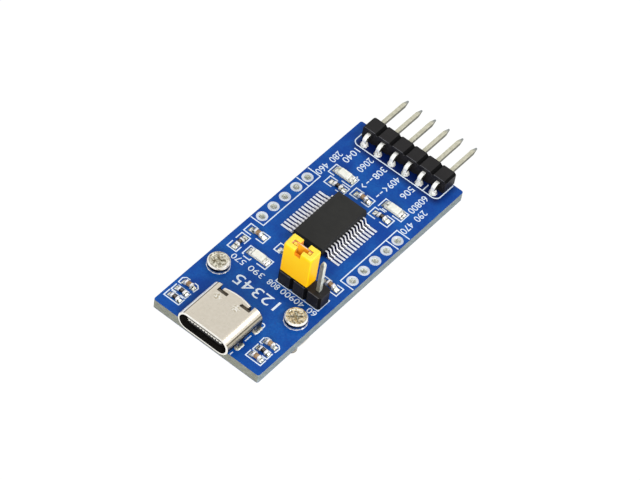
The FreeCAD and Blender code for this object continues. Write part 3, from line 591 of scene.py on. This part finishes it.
silk = {
    "line": 0.17,
    "overlap": 0.09,  # how far a line's end lies inside the line that it meets
    "headerOutline": (-7.85, 7.7, 41.95, 45.85, 0.9),  # left, right, near, far, corner
    "headerMark": (5.06, 43.4),
    # the outlines of the side holes: their inner side, how far inside the board they end, and the cross lines
    "rowX": 7.05,
    "rowEdge": 0.12,
    "rowY": (20.8, 31.0, 33.56),
    # boxes round the parts: left, right, near, far, then the open part of the near and far sides
    "boxes": {
        "leftLed": (-6.84, -2.68, 35.1, 36.98, (-5.76, -4.36), (-5.6, -4.25)),
        "leftLedResistor": (-6.08, -2.56, 33.15, 34.68, (-4.7, -3.95), (-4.7, -3.92)),
        "rightLed": (2.3, 6.48, 35.2, 37.02, (2.32, 4.87), (3.35, 5.0)),
        "rightLedResistor": (2.16, 5.7, 32.98, 34.68, (3.5, 4.28), (2.9, 4.3)),
        "chipCapacitor": (-2.0, 1.44, 34.0, 35.58, (-0.58, 0.1), (-0.56, -0.06)),
        "leftSupply": (-8.52, -5.0, 18.22, 19.85, (-7.18, -6.33), (-7.12, -6.37)),
        "middleSupply": (-3.25, 0.4, 18.55, 20.1, (-2.2, -1.0), (-2.2, -1.0)),
        "rightSupply": (5.0, 8.36, 18.25, 19.9, (6.3, 7.2), (6.3, 7.2)),
        "powerLed": (-5.96, -1.8, 14.88, 16.75, (-5.7, -3.35), None),
    },
    # the corner groups: left, right, and the near and far ends of three cells
    "groups": {
        "left": (-9.0, -6.32, ((1.62, 2.9), (3.1, 4.28), (4.72, 6.1))),
        "right": (5.86, 8.52, ((1.54, 2.75), (3.0, 4.25), (4.62, 5.95))),
    },
    "groupInset": 0.06,  # how much narrower the middle cell is
    "groupArm": 0.9,  # how long the cells' short sides are
    "groupCut": 0.42,  # the cut corners of the far cell
    # signal directions beside the header: place across the board, tip, end, and the dashes' lengths
    "arrows": ((-1.5, 36.36, 38.6, (0.55, 0.55)), (1.1, 38.58, 36.3, (0.6, 0.55))),
    "arrowHead": 0.42,
    "dashGap": 0.25,
    # the box of the resistor that lies along the board
    "alongBox": (((-8.4, 16.33), (-8.4, 17.7), (-6.84, 17.7), (-6.84, 16.34)),
                 ((-8.4, 15.7), (-8.4, 14.46), (-6.76, 14.46), (-6.76, 15.61))),
    # marks of the diodes' ends
    "ledMarks": (((-3.27, 37.32), (-3.05, 37.11)), ((-5.57, 14.62), (-4.43, 14.62), (-4.41, 15.0)),
                 ((2.76, 34.95), (3.78, 34.95)), ((3.02, 35.22), (3.85, 35.22))),
    # the selector's outline with short ticks at its far side
    "selector": (((0.75, 17.0), (0.55, 17.0), (0.55, 14.42), (8.2, 14.42), (8.2, 16.95), (7.95, 16.95)),),
    # beside the receptacle's legs, then the centre and radius of the hook at their far ends
    "legNear": (((4.3, 0.1), (4.3, 0.7)),),
    "legMiddle": ((4.31, 3.3), (4.31, 4.62)),
    "legFar": ((4.56, 5.1), (4.6, 7.0)),
    "legHook": ((4.25, 7.05), 0.35),
}


def boxLines(left, right, near, far, nearGap, farGap):
    # a frame of two brackets: each long side is open where its gap says
    leftSide = [(left, near), (left, far)]
    rightSide = [(right, far), (right, near), (nearGap[1], near)]
    if nearGap[0] - left > silk["overlap"]:
        leftSide.insert(0, (nearGap[0], near))
    if farGap is None:
        return [leftSide + rightSide]
    return [leftSide + [(farGap[0], far)], [(farGap[1], far)] + rightSide]


def groupLines(left, right, cells):
    # two cells of brackets, each with a line beyond it, and a third with cut corners
    inset, arm, cut = silk["groupInset"], silk["groupArm"], silk["groupCut"]
    lines = []
    for i, (near, far) in enumerate(cells[:2]):
        a, b = left + inset * i, right - inset * i
        lines += [[(a, far), (a, near), (a + arm, near)], [(b - arm, near), (b, near), (b, far)],
                  [(a + 0.3, far + 0.02), (b - 0.3, far + 0.02)]]
    near, far = cells[2]
    a, b = left - 0.06, right + 0.1
    return lines + [
        [(left + 0.5, near), (left, near), (a, far - cut), (a + cut, far), (left + 1.0, far)],
        [(right - arm, far), (b - cut, far), (b, far - cut), (right, near)],
        [(left + 0.92, cells[0][0]), (right - 0.92, cells[0][0])],
    ]


def arrowLines(x, tip, end, lengths):
    # an arrowhead at its tip and the dashes behind it, along the board
    way = 1 if end > tip else -1
    head = silk["arrowHead"]
    lines = [[(x - head, tip + way * head), (x, tip), (x + head, tip + way * head)]]
    place = end
    for length in lengths:
        lines.append([(x, place), (x, place - way * length)])
        place -= way * (length + silk["dashGap"])
    return lines


def legLines(side):
    centre, radius = silk["legHook"]
    hook = arc(centre, radius, 0, 130, 5)
    return [[(side * x, y) for x, y in line] for line in (silk["legMiddle"], [*silk["legFar"], *hook])]


def silkLines():
    # the corner points of each line
    edge = board["width"] / 2 - silk["rowEdge"]
    rail = silk["rowX"]
    near, middle, far = silk["rowY"]
    lines = []
    for side in (-1, 1):
        lines.append([(side * edge, near), (side * rail, near), (side * rail, far), (side * edge, far)])
        lines.append([(side * (rail + silk["overlap"]), middle), (side * edge, middle)])
    left, right, low, high, corner = silk["headerOutline"]
    outline = [(left, high)] + arc((left + corner, low + corner), corner, 180, 270)
    outline += arc((right - corner, low + corner), corner, 270, 360) + [(right, high)]
    lines.append(outline)
    markX, markEnd = silk["headerMark"]
    lines.append([(markX, low + silk["overlap"]), (markX, markEnd)])
    for sides in silk["boxes"].values():
        lines += boxLines(*sides)
    for sides in silk["groups"].values():
        lines += groupLines(*sides)
    lines += silk["alongBox"] + silk["ledMarks"] + silk["selector"]
    for arrow in silk["arrows"]:
        lines += arrowLines(*arrow)
    lines += silk["legNear"]
    for side in (1, -1):
        lines += legLines(side)
    return lines


numbers = {
    # how they are turned, then each text and its box on the board: left, right, near, far
    -90: (
        ("1040", -6.95, -5.85, 38.2, 41.3), ("2060", -4.35, -3.25, 38.3, 41.3),
        ("308", -1.9, -0.8, 38.9, 41.3), ("409", 0.65, 1.75, 39.0, 41.3),
        ("506", 3.25, 4.35, 38.8, 41.3), ("60800", 5.75, 6.85, 37.5, 41.3),
        ("280", -8.35, -7.25, 36.9, 39.1), ("460", -8.35, -7.25, 33.75, 36.1),
        ("290", 7.3, 8.4, 36.9, 39.1), ("470", 7.3, 8.4, 33.75, 36.1),
    ),
    180: (
        ("390", -3.7, -1.1, 13.15, 14.15), ("570", -6.8, -4.5, 13.15, 14.15), ("808", -0.2, 1.75, 13.15, 14.15),
        ("40900", 2.2, 6.2, 13.15, 14.15), ("60", 6.95, 8.4, 13.15, 14.15), ("12345", -3.9, 3.7, 10.0, 11.9),
    ),
}


def numberMesh(bm, text, left, right, near, far, turn):
    # a number filled and stretched to its box
    curve = bpy.data.curves.new("number", "FONT")
    curve.body = text
    curve.resolution_u = 4
    holder = newObject("number", curve)
    flat = bpy.data.meshes.new_from_object(holder)
    part = bmesh.new()
    part.from_mesh(flat)
    bmesh.ops.rotate(part, matrix=Matrix.Rotation(math.radians(turn), 3, "Z"), verts=part.verts)
    low = Vector([min(vert.co[i] for vert in part.verts) for i in range(2)])
    high = Vector([max(vert.co[i] for vert in part.verts) for i in range(2)])
    stretch = ((right - left) / (high.x - low.x), (far - near) / (high.y - low.y), 1)
    bmesh.ops.translate(part, vec=(-low.x, -low.y, 0), verts=part.verts)
    bmesh.ops.scale(part, vec=stretch, verts=part.verts)
    bmesh.ops.translate(part, vec=(left, near, 0), verts=part.verts)
    joinTo(bm, part)
    bpy.data.objects.remove(holder)
    bpy.data.curves.remove(curve)
    bpy.data.meshes.remove(flat)


def makeSilkscreen():
    bm = bmesh.new()
    for points in silkLines():
        ribbon(bm, points, silk["line"])
    for turn, entries in numbers.items():
        for entry in entries:
            numberMesh(bm, *entry, turn)
    weld(bm)
    mask = board["maskThickness"]
    thicken(bm, mask - board["inkSunk"], mask + board["inkThickness"])
    addPiece("silkscreen", bm, ["whiteInk"])


makeBoard()
makeSilkscreen()
print("board and ink made")


# Plated holes and pads

eyelet = {
    "bore": 0.5,  # radii of the hole, of the tube round it and of the pad
    "tube": 0.53,
    "pad": 0.875,
    "rise": 0.06,  # height of the pad over the board
    "round": 0.025,  # of the pad's outer edge
    "lip": ((0.06, 0), (0.015, -0.02), (0, -0.06)),  # the rounded way into the bore, outwards and up
    "x": 8.28,  # the two rows
    "first": 21.98,
    "pitch": 2.54,
    "count": 5,
    "steps": 40,
}


def makeEyelets():
    bm = bmesh.new()
    low = -board["thickness"]
    bore, pad, rise, soft = (eyelet[key] for key in ("bore", "pad", "rise", "round"))
    half = [(eyelet["tube"], 0), (pad, 0), (pad, rise - soft), (pad - soft, rise)]
    half += [(bore + outwards, rise + up) for outwards, up in eyelet["lip"]]
    profile = half + [(radius, low - z) for radius, z in reversed(half)] + half[:1]
    for side in (-1, 1):
        for i in range(eyelet["count"]):
            lathe(bm, profile, (side * eyelet["x"], eyelet["first"] + i * eyelet["pitch"]), eyelet["steps"])
    bm.normal_update()
    # painted light: the bore's wall is coloured near white for the light that comes through the hole
    for face in bm.faces:
        if abs(face.normal.z) < 0.5 and low < face.calc_center_median().z < 0:
            face.material_index = 1
    addPiece("side_eyelets", bm, ["eyeletTin", "eyeletTubePaintedLight"], replaces=("side_hole_plating",))


makeEyelets()

pads = {
    "rowReach": 1.4,  # how far a pad lies from the middle of the header's row
    "partReach": 2.05,  # and from that of a small part
    "top": -0.5,  # above it is the top face
}
headerRow = sum(nodeBox("pin_header_solder"), Vector()).y / 2
partCentres = [sum(nodeBox(name), Vector()) / 2 for name in nodes
                if name.startswith(("capacitor_", "resistor_")) or name.endswith("_led_base")]


# painted shade: pads near the header's row and the small parts are coloured a dark grey-green
def partPad(face, centre, normal):
    if abs(centre.y - headerRow) < pads["rowReach"] and centre.z > pads["top"]:
        return True
    return any(math.hypot(centre.x - spot.x, centre.y - spot.y) < pads["partReach"] for spot in partCentres)


softCopy("surface_pads", "tinnedCopper", "tinned_copper", 0.02, 1, accents=[("padPaintedShade", partPad)])

# Chip

def leadFlank(face, centre, normal):
    return abs(normal.y) > 0.7 and centre.x > 0


softCopy("chip_body", "chipEpoxy", "chip_plastic", 0.06, 3)
softCopy("chip_leads", "tinnedLead", "tinned_lead", 0.02, 1, accents=[("leadShade", leadFlank)])
print("holes, pads and chip made")

# USB receptacle

shell = {
    "endRadius": 1.6,  # of its round ends
    "base": 0.25,  # below it are the legs
    "rimDepth": 0.12,
    "slotDepth": 0.45,
    "inwards": -0.35,  # limits of what facesOut says
    "outwards": 0.8,
    "footSlope": 0.08,  # the right side's faces up to this slope are its foot
    # bands along the sides, painted reflections: a gleam and dark lines on the shoulders, a dimmer strip lower
    # on the right. Each: finish, side, and from where to where their faces look upwards
    "bands": (
        ("shellGleam", -1, 0.3, 0.85),
        ("shellLine", -1, 0.85, 0.91),
        ("shellLine", 1, 0.48, 0.62),
        ("shellSide", 1, 0.08, 0.48),
    ),
}
flap = {
    "half": 2.3,  # half its width
    "start": 5.9,  # it lies behind this and above the next
    "above": 0.4,
    "bulge": 0.34,
    "step": 0.3,  # between the cuts that let it bend
    "cuts": 7,
    "bendDepth": 0.5,  # how far down its bright bend reaches, and half the bend's width
    "bendHalf": 2.4,
}
shellLow, shellHigh = nodeBox("usb_shell")
shellMiddle = shellHigh.z - shell["endRadius"]
shellStraight = (shellHigh.x - shellLow.x) / 2 - shell["endRadius"]


def facesOut(centre, normal):
    # 1 where a face of the shell looks straight out, -1 where it looks straight in
    axis = Vector((max(-shellStraight, min(shellStraight, centre.x)), centre.y, shellMiddle))
    return normal.dot((centre - axis).normalized())


def insideShell(face, centre, normal):
    return centre.z > shell["base"] and facesOut(centre, normal) < shell["inwards"]


# painted highlight: the mouth's rim is coloured brighter than the rest of the shell
def mouthRim(face, centre, normal):
    return centre.y < shellLow.y + shell["rimDepth"] and not insideShell(face, centre, normal)


def shellBand(side, low, high):
    def chosen(face, centre, normal):
        looks = normal.x * side > 0 and low < normal.z <= high
        return looks and centre.z > shell["base"] and facesOut(centre, normal) > shell["outwards"]

    return chosen


# painted shade: the foot of the right side is coloured dark
def rightFoot(face, centre, normal):
    return normal.x > 0.3 and normal.z <= shell["footSlope"] and abs(normal.y) < 0.3


def underSlot(face, centre, normal):
    return centre.z > shellHigh.z - shell["slotDepth"] and normal.z > 0.5


# painted highlight: the flap's bend is coloured near white
def flapBend(face, centre, normal):
    near = centre.z > shellHigh.z - flap["bendDepth"] and abs(centre.x) < flap["bendHalf"]
    return near and normal.y > 0.12 and normal.z > 0.1


def bowFlap(bm):
    # the flap that closes the shell's rear is bowed outwards
    for i in range(-flap["cuts"], flap["cuts"] + 1):
        bmesh.ops.bisect_plane(bm, geom=bm.verts[:] + bm.edges[:] + bm.faces[:],
                               plane_co=(i * flap["step"], 0, 0), plane_no=(1, 0, 0))
    for vert in bm.verts:
        if abs(vert.co.x) < flap["half"] and vert.co.y > flap["start"] and vert.co.z > flap["above"]:
            vert.co.y += flap["bulge"] * (1 - (vert.co.x / flap["half"]) ** 2)


comb = {
    "pitch": 0.5,
    "count": 12,
    "tooth": (0.3, 0.3, 0.3),
    "toothLevel": 0.22,  # of its middle, above the shell's middle
    "bar": (6.2, 0.32, 0.1),
    "barLevel": 0.325,
    "depth": 0.12,  # of their middles, behind the tongue's front edge
}


def makeComb():
    # the ends of the upper contacts along the tongue's front edge
    bm = bmesh.new()
    y = nodeBox("usb_insulator")[0].y + comb["depth"]
    outermost = (comb["count"] - 1) / 2 * comb["pitch"]
    teeth = [(i * comb["pitch"] - outermost, comb["toothLevel"], comb["tooth"]) for i in range(comb["count"])]
    for x, level, size in teeth + [(0, comb["barLevel"], comb["bar"])]:
        addBlock(bm, (x, y, shellMiddle + level), size)
    weld(bm)
    addPiece("contact_comb", bm, ["contactComb"])


bands = [(finish, shellBand(*limits)) for finish, *limits in shell["bands"]]
softCopy("usb_shell", "shellNickel", "nickel_steel", 0.05, 2, shaped=bowFlap,
         accents=[("shellFootShade", rightFoot), *bands, ("shellShadow", insideShell), ("shellRimHighlight", mouthRim),
                  ("flapHighlight", flapBend)])
softCopy("usb_insulator", "insulatorPlastic", "black_plastic", 0.03, 1, accents=[("slotFloor", underSlot)])
makeComb()
softCopy("usb_mid_plate", "shellNickel", "nickel_steel", 0.02, 1)
softCopy("usb_contacts", "contactGold", "gold_contact", 0.015, 1)
drawnInSolder("usb_solder", "legSolder", 0.74)
print("receptacle made")

# Headers

def litEdge(face, centre, normal):
    return normal.y < -0.3 and normal.z > 0.3 and abs(normal.x) < 0.3


def groove(face, centre, normal):
    # the slanted faces between two blocks, which are large beside the rounded edges; they are painted dark as
    # shade
    return 0.3 < abs(normal.x) < 0.93 and face.calc_area() > 0.1


for label in ("pin_header_body", "selector_body"):
    softCopy(label, "headerPlastic", "black_plastic", 0.06, 2,
             accents=[("headerEdge", litEdge), ("headerGrooveShade", groove)])


jumper = {
    "litTip": 0.7,  # how much of the pins takes the cap's colour
    "topDepth": 0.4,
    "wall": 0.15,  # further in than this is the cap's inside
}
capLow, capHigh = nodeBox("jumper_cap")
pinTop = nodeBox("selector_pins")[1].z


# painted light: where the cap covers the selector's pins they are coloured yellow, as if lit through the cap
def pinUnderCap(face, centre, normal):
    return capLow.x < centre.x < capHigh.x and centre.z > pinTop - jumper["litTip"]


softCopy("pin_header_pins", "headerPins", "pin_metal", 0.05, 2, accents=[("pinShade", facing("right", 0.8))])
# painted shade on the front faces of the selector's pins and a painted highlight on their right faces
softCopy("selector_pins", "pinPlating", "pin_metal", 0.05, 2,
         accents=[("pinFrontShade", facing("front", 0.6)), ("pinHighlight", facing("right", 0.6)),
                  ("pinCapLight", pinUnderCap)])
softCopy("selector_solder", "brightSolder", "solder", 0.06, 2)
drawnInSolder("pin_header_solder", "pinSolder", 0.78)

# Jumper

def capTop(face, centre, normal):
    return normal.z > 0.7 and centre.z > capHigh.z - jumper["topDepth"]


def capInside(face, centre, normal):
    inX = capLow.x + jumper["wall"] < centre.x < capHigh.x - jumper["wall"]
    inY = capLow.y + jumper["wall"] < centre.y < capHigh.y - jumper["wall"]
    return inX and inY and (normal.z < 0.5 or centre.z < capHigh.z - jumper["topDepth"])


# painted light: the cap's right side glows more, its top is paler and its inside a deep orange
softCopy("jumper_cap", "jumperPlastic", "yellow_plastic", 0.2, 3, body="jumper",
         accents=[("jumperSideLit", facing("right", 0.7)), ("jumperTopLit", capTop), ("jumperInsideLight", capInside)])
# painted reflection and light: the clip is coloured yellow-orange like the cap and glows; its top keeps its own
# pinkish bronze, lightened as a painted highlight
softCopy("jumper_contact", "clipCapReflection", "clip_metal", 0.02, 1, body="jumper",
         accents=[("clipTopHighlight", facing("up", 0.7))])
print("headers and jumper made")

# Small parts

smallParts = {
    "cornersEnd": 8,  # the parts of the corner groups lie nearer than this to the USB end
    # how far from the middle the solder starts, the end cap ends and the pad ends, and the pad's width
    "corner": (0.4, 0.575, 1.1, 0.74),
    "wide": (0.4, 0.575, 1.4, 0.84),
    "led": (1.06, 1.39, 1.84, 1.14),
    "capWidth": 0.62,
    "ledWidth": 1.2,
    "ledRise": 0.2,  # how much higher the solder of a diode may climb
    "climb": 0.72,  # share of the part's height
    "fall": 1.7,  # how steeply it falls from there
    "skin": 0.07,  # thickness of the flat rest, and how square its rim is
    "skinRim": 5,
    "floor": 0.03,  # level of its underside, and of the rim's top
    "rim": 0.05,
    "band": (0.22, 0.42),  # where the dark band lies, from the end cap to the pad's end
    "cells": (12, 8),
    "spare": 0.02,  # how far the skin reaches beyond the pad's width
    "smooth": 60,
    "fieldInset": 0.24,  # a resistor's field against its body
    "fieldThickness": 0.02,
}
# finish, slot, and how wide and in how many steps the edges are rounded
partKinds = {
    "capacitor": ("capacitorCeramic", "brown_ceramic", 0.05, 2),
    "resistor": ("resistorFilm", "dark_film", 0.03, 2),
    "base": ("ledBase", "led_base", 0.03, 1),
    "lens": ("ledResin", "led_lens", 0.1, 3),
}


def kindOf(label):
    # the kind of small part that a node is, or nothing
    words = label.split("_")
    kind = words[-1] if words[-1] in partKinds else words[0]
    return kind if kind in partKinds and words[-1] != "terminals" else None


def solderPillow(bm, centre, turn, sizes, capWidth, height):
    # a rounded fillet from the end cap down to the pad's outline
    start, cap, end, width = sizes
    longCells, wideCells = smallParts["cells"]
    sheet = bmesh.new()
    bmesh.ops.create_grid(sheet, x_segments=longCells, y_segments=wideCells, size=0.5)
    top = grow(sheet)
    for vert in sheet.verts:
        along = start + (vert.co.x + 0.5) * (end - start)
        across = vert.co.y * width
        outX = max(0.0, along - cap) / (end - cap)
        outY = max(0.0, abs(across) - capWidth / 2) / (width / 2 - capWidth / 2 + smallParts["spare"])
        gone = min(1.0, math.hypot(outX, outY))
        level = smallParts["floor"]
        if vert in top:
            climbed = height * smallParts["climb"] * (1 - gone) ** smallParts["fall"]
            level = smallParts["rim"] + climbed + smallParts["skin"] * (1 - gone ** smallParts["skinRim"])
        vert.co = Vector((along, across, level))
    # painted shade: a dark band across each fillet
    bandStart, bandEnd = smallParts["band"]
    for face in sheet.faces:
        out = (face.calc_center_median().x - cap) / (end - cap)
        face.material_index = 1 if bandStart < out < bandEnd else 0
    bmesh.ops.rotate(sheet, matrix=Matrix.Rotation(turn, 3, "Z"), verts=sheet.verts)
    bmesh.ops.translate(sheet, vec=(centre.x, centre.y, 0), verts=sheet.verts)
    bmesh.ops.recalc_face_normals(sheet, faces=sheet.faces)
    joinTo(bm, sheet)


def makeComponentSolder():
    bm = bmesh.new()
    for label in nodes:
        if kindOf(label) not in ("base", "capacitor", "resistor"):
            continue
        isLed = kindOf(label) == "base"
        low, high = nodeBox(label)
        centre, size = (low + high) / 2, high - low
        height = high.z - smallParts["rim"] + (smallParts["ledRise"] if isLed else 0)
        group = "led" if isLed else "corner" if centre.y < smallParts["cornersEnd"] else "wide"
        capWidth = smallParts["ledWidth" if isLed else "capWidth"]
        quarter = math.pi / 2 if size.y > size.x else 0
        for turn in (0, math.pi):
            solderPillow(bm, centre, turn + quarter, smallParts[group], capWidth, height)
    addPiece("component_fillets", bm, ["brightSolder", "solderShadeBand"],
             replaces=("component_solder",), smoothAngle=smallParts["smooth"])


def makeResistorMarks():
    # a paler printed field on each resistor's top
    bm = bmesh.new()
    inset, thickness = smallParts["fieldInset"], smallParts["fieldThickness"]
    for label in nodes:
        if kindOf(label) != "resistor":
            continue
        low, high = nodeBox(label)
        centre, size = (low + high) / 2, high - low
        addBlock(bm, (centre.x, centre.y, high.z), (size.x - inset, size.y - inset, thickness))
    addPiece("resistor_fields", bm, ["resistorMark"])


for label in nodes:
    if kindOf(label):
        softCopy(label, *partKinds[kindOf(label)])
for label in ("capacitor_terminals", "resistor_terminals", "led_terminals"):
    softCopy(label, "tinnedLead", "tinned_lead", 0.04, 2)
makeComponentSolder()
makeResistorMarks()
print("small parts made")

# Screws and nuts

screwHead = {
    "dishRadius": 1.24,  # the hollow lies inside it and above the next
    "dishFloor": 0.3,
    "sideRadius": 1.5,  # the side lies outside it, from its foot up to the rim
    "sideFoot": 0.1,
    "rimRadius": 1.2,
    "rimDepth": 0.32,
    "thread": -2,  # the thread lies below it
}


def makeScrew(side):
    low, high = nodeBox("screw_" + side)
    middle = (low + high) / 2
    rimFoot = high.z - screwHead["rimDepth"]

    def away(centre):
        return math.hypot(centre.x - middle.x, centre.y - middle.y)

    def dish(face, centre, normal):
        return away(centre) < screwHead["dishRadius"] and centre.z > screwHead["dishFloor"]

    def headSide(face, centre, normal):
        return away(centre) > screwHead["sideRadius"] and screwHead["sideFoot"] < centre.z < rimFoot

    # painted highlight: the rim of the head is coloured brighter
    def rim(face, centre, normal):
        return away(centre) > screwHead["rimRadius"] and centre.z >= rimFoot

    def thread(face, centre, normal):
        return abs(normal.z) < 0.5 and centre.z < screwHead["thread"]

    softCopy("screw_" + side, "screwNickel", "nickel_steel", 0.12, 3,
             accents=[("screwDish", dish), ("screwSideShadeAndReflection", headSide), ("screwRimHighlight", rim), ("screwThread", thread)])


for side in ("left", "right"):
    makeScrew(side)
    softCopy("nut_" + side, "nutNickel", "nickel_steel", 0.04, 2)


# Stage

sky = {
    "light": 0.62,  # what diffuse surfaces take from every side
    "horizon": 1.12,  # what metal mirrors, low and high in the sky
    "zenith": 0.86,
    "full": 0.8,  # height at which the zenith's light is reached
    "floor": 0.34,  # the floor's own colour
    "floorGlow": 1.15,  # what it shows where it is seen directly, and how much of that
    "floorShare": 0.86,
    "floorHalf": 0.6,  # half its side, in metres
}


def seenDirectly(graph):
    # the camera's own rays, and one where the camera or a mirroring surface looks, none for diffuse light
    rays = ("Is Camera Ray", "Is Glossy Ray", "Is Transmission Ray")
    seen, *others = [graph.add("ShaderNodeLightPath", out=ray) for ray in rays]
    total = seen
    for ray in others:
        total = graph.add("ShaderNodeMath", {"operation": "MAXIMUM"}, {0: total, 1: ray})
    return seen, total


def makeSky():
    scene = bpy.context.scene
    scene.view_settings.view_transform = "Standard"
    scene.world = bpy.data.worlds.new("studio")
    graph = Graph(scene.world)
    direction = graph.add("ShaderNodeTexCoord", out="Generated")
    height = graph.add("ShaderNodeSeparateXYZ", None, {0: direction}, out="Z")
    mirrored = graph.between(height, 0.0, sky["full"], sky["horizon"], sky["zenith"])
    seen, direct = seenDirectly(graph)
    strength = graph.add("ShaderNodeMix", None, {0: direct, 2: sky["light"], 3: mirrored})
    strength = graph.add("ShaderNodeMix", None, {0: seen, 2: strength, 3: 1.0})
    graph.fill(graph.tree.nodes["Background"], {"Color": (1.0, 1.0, 1.0, 1.0), "Strength": strength})


def makeFloor():
    bm = bmesh.new()
    bmesh.ops.create_grid(bm, x_segments=2, y_segments=2, size=sky["floorHalf"])
    floor = newObject("floor", toMesh("floor", bm))
    finish = Finish("paleFloor", (255, 255, 255), 0.9, specular=0.0)
    grey = sky["floor"]
    finish.fill(finish.shader, {"Base Color": (grey, grey, grey, 1.0)})
    glow = finish.add("ShaderNodeEmission", None, {"Color": (1.0, 1.0, 1.0, 1.0), "Strength": sky["floorGlow"]})
    share = seenDirectly(finish)[1] * sky["floorShare"]
    own = Flow(finish, finish.shader.outputs[0])
    mixed = finish.add("ShaderNodeMixShader", None, {0: share, 1: own, 2: glow})
    finish.fill(finish.tree.nodes["Material Output"], {"Surface": mixed})
    floor.data.materials.append(finish.material)


lamps = {
    # place and size in metres, power, and whether metal mirrors it
    "keyLamp": ((0.18, 0.10, 0.28), 0.14, 0.3, True),
    "frontFill": ((0.19, -0.30, 0.17), 0.2, 1.0, False),
}


def makeLamps():
    for name, (place, size, power, mirrored) in lamps.items():
        lamp = bpy.data.lights.new(name, "AREA")
        lamp.shape = "DISK"
        lamp.size = size
        lamp.energy = power
        holder = newObject(name, lamp)
        holder.location = place
        holder.rotation_euler = (Vector((0, 0, 0)) - Vector(place)).to_track_quat("-Z", "Y").to_euler()
        holder.visible_glossy = mirrored


camera = {
    "place": (159.59625, -238.44702, 370.41544),  # millimetres, on the board
    "right": (0.7680938557, 0.6295792279, 0.1168838080),
    "down": (0.5483651740, -0.5524666664, -0.6277549032),
    "forward": (-0.3306470395, 0.5462696937, -0.7695855748),
    "lens": 192.3,
    "sensor": 36,
    "clip": (0.01, 5),  # metres
    "photoWidth": 640,
    "nudge": (0.7, 0.4),  # pixels right and down
}


def makeCamera():
    data = bpy.data.cameras.new("photoView")
    data.sensor_width = camera["sensor"]
    data.lens = camera["lens"]
    data.shift_x = -camera["nudge"][0] / camera["photoWidth"]
    data.shift_y = camera["nudge"][1] / camera["photoWidth"]
    data.clip_start, data.clip_end = camera["clip"]
    holder = newObject("photoView", data)
    right, down, forward = (Vector(camera[key]) for key in ("right", "down", "forward"))
    turn = Matrix((right, -down, -forward)).transposed()
    holder.matrix_world = Matrix.Translation(boardPlace @ Vector(camera["place"])) @ turn.to_4x4()
    bpy.context.scene.camera = holder


makeSky()
makeFloor()
makeLamps()
makeCamera()
print("stage, lamps and camera made")
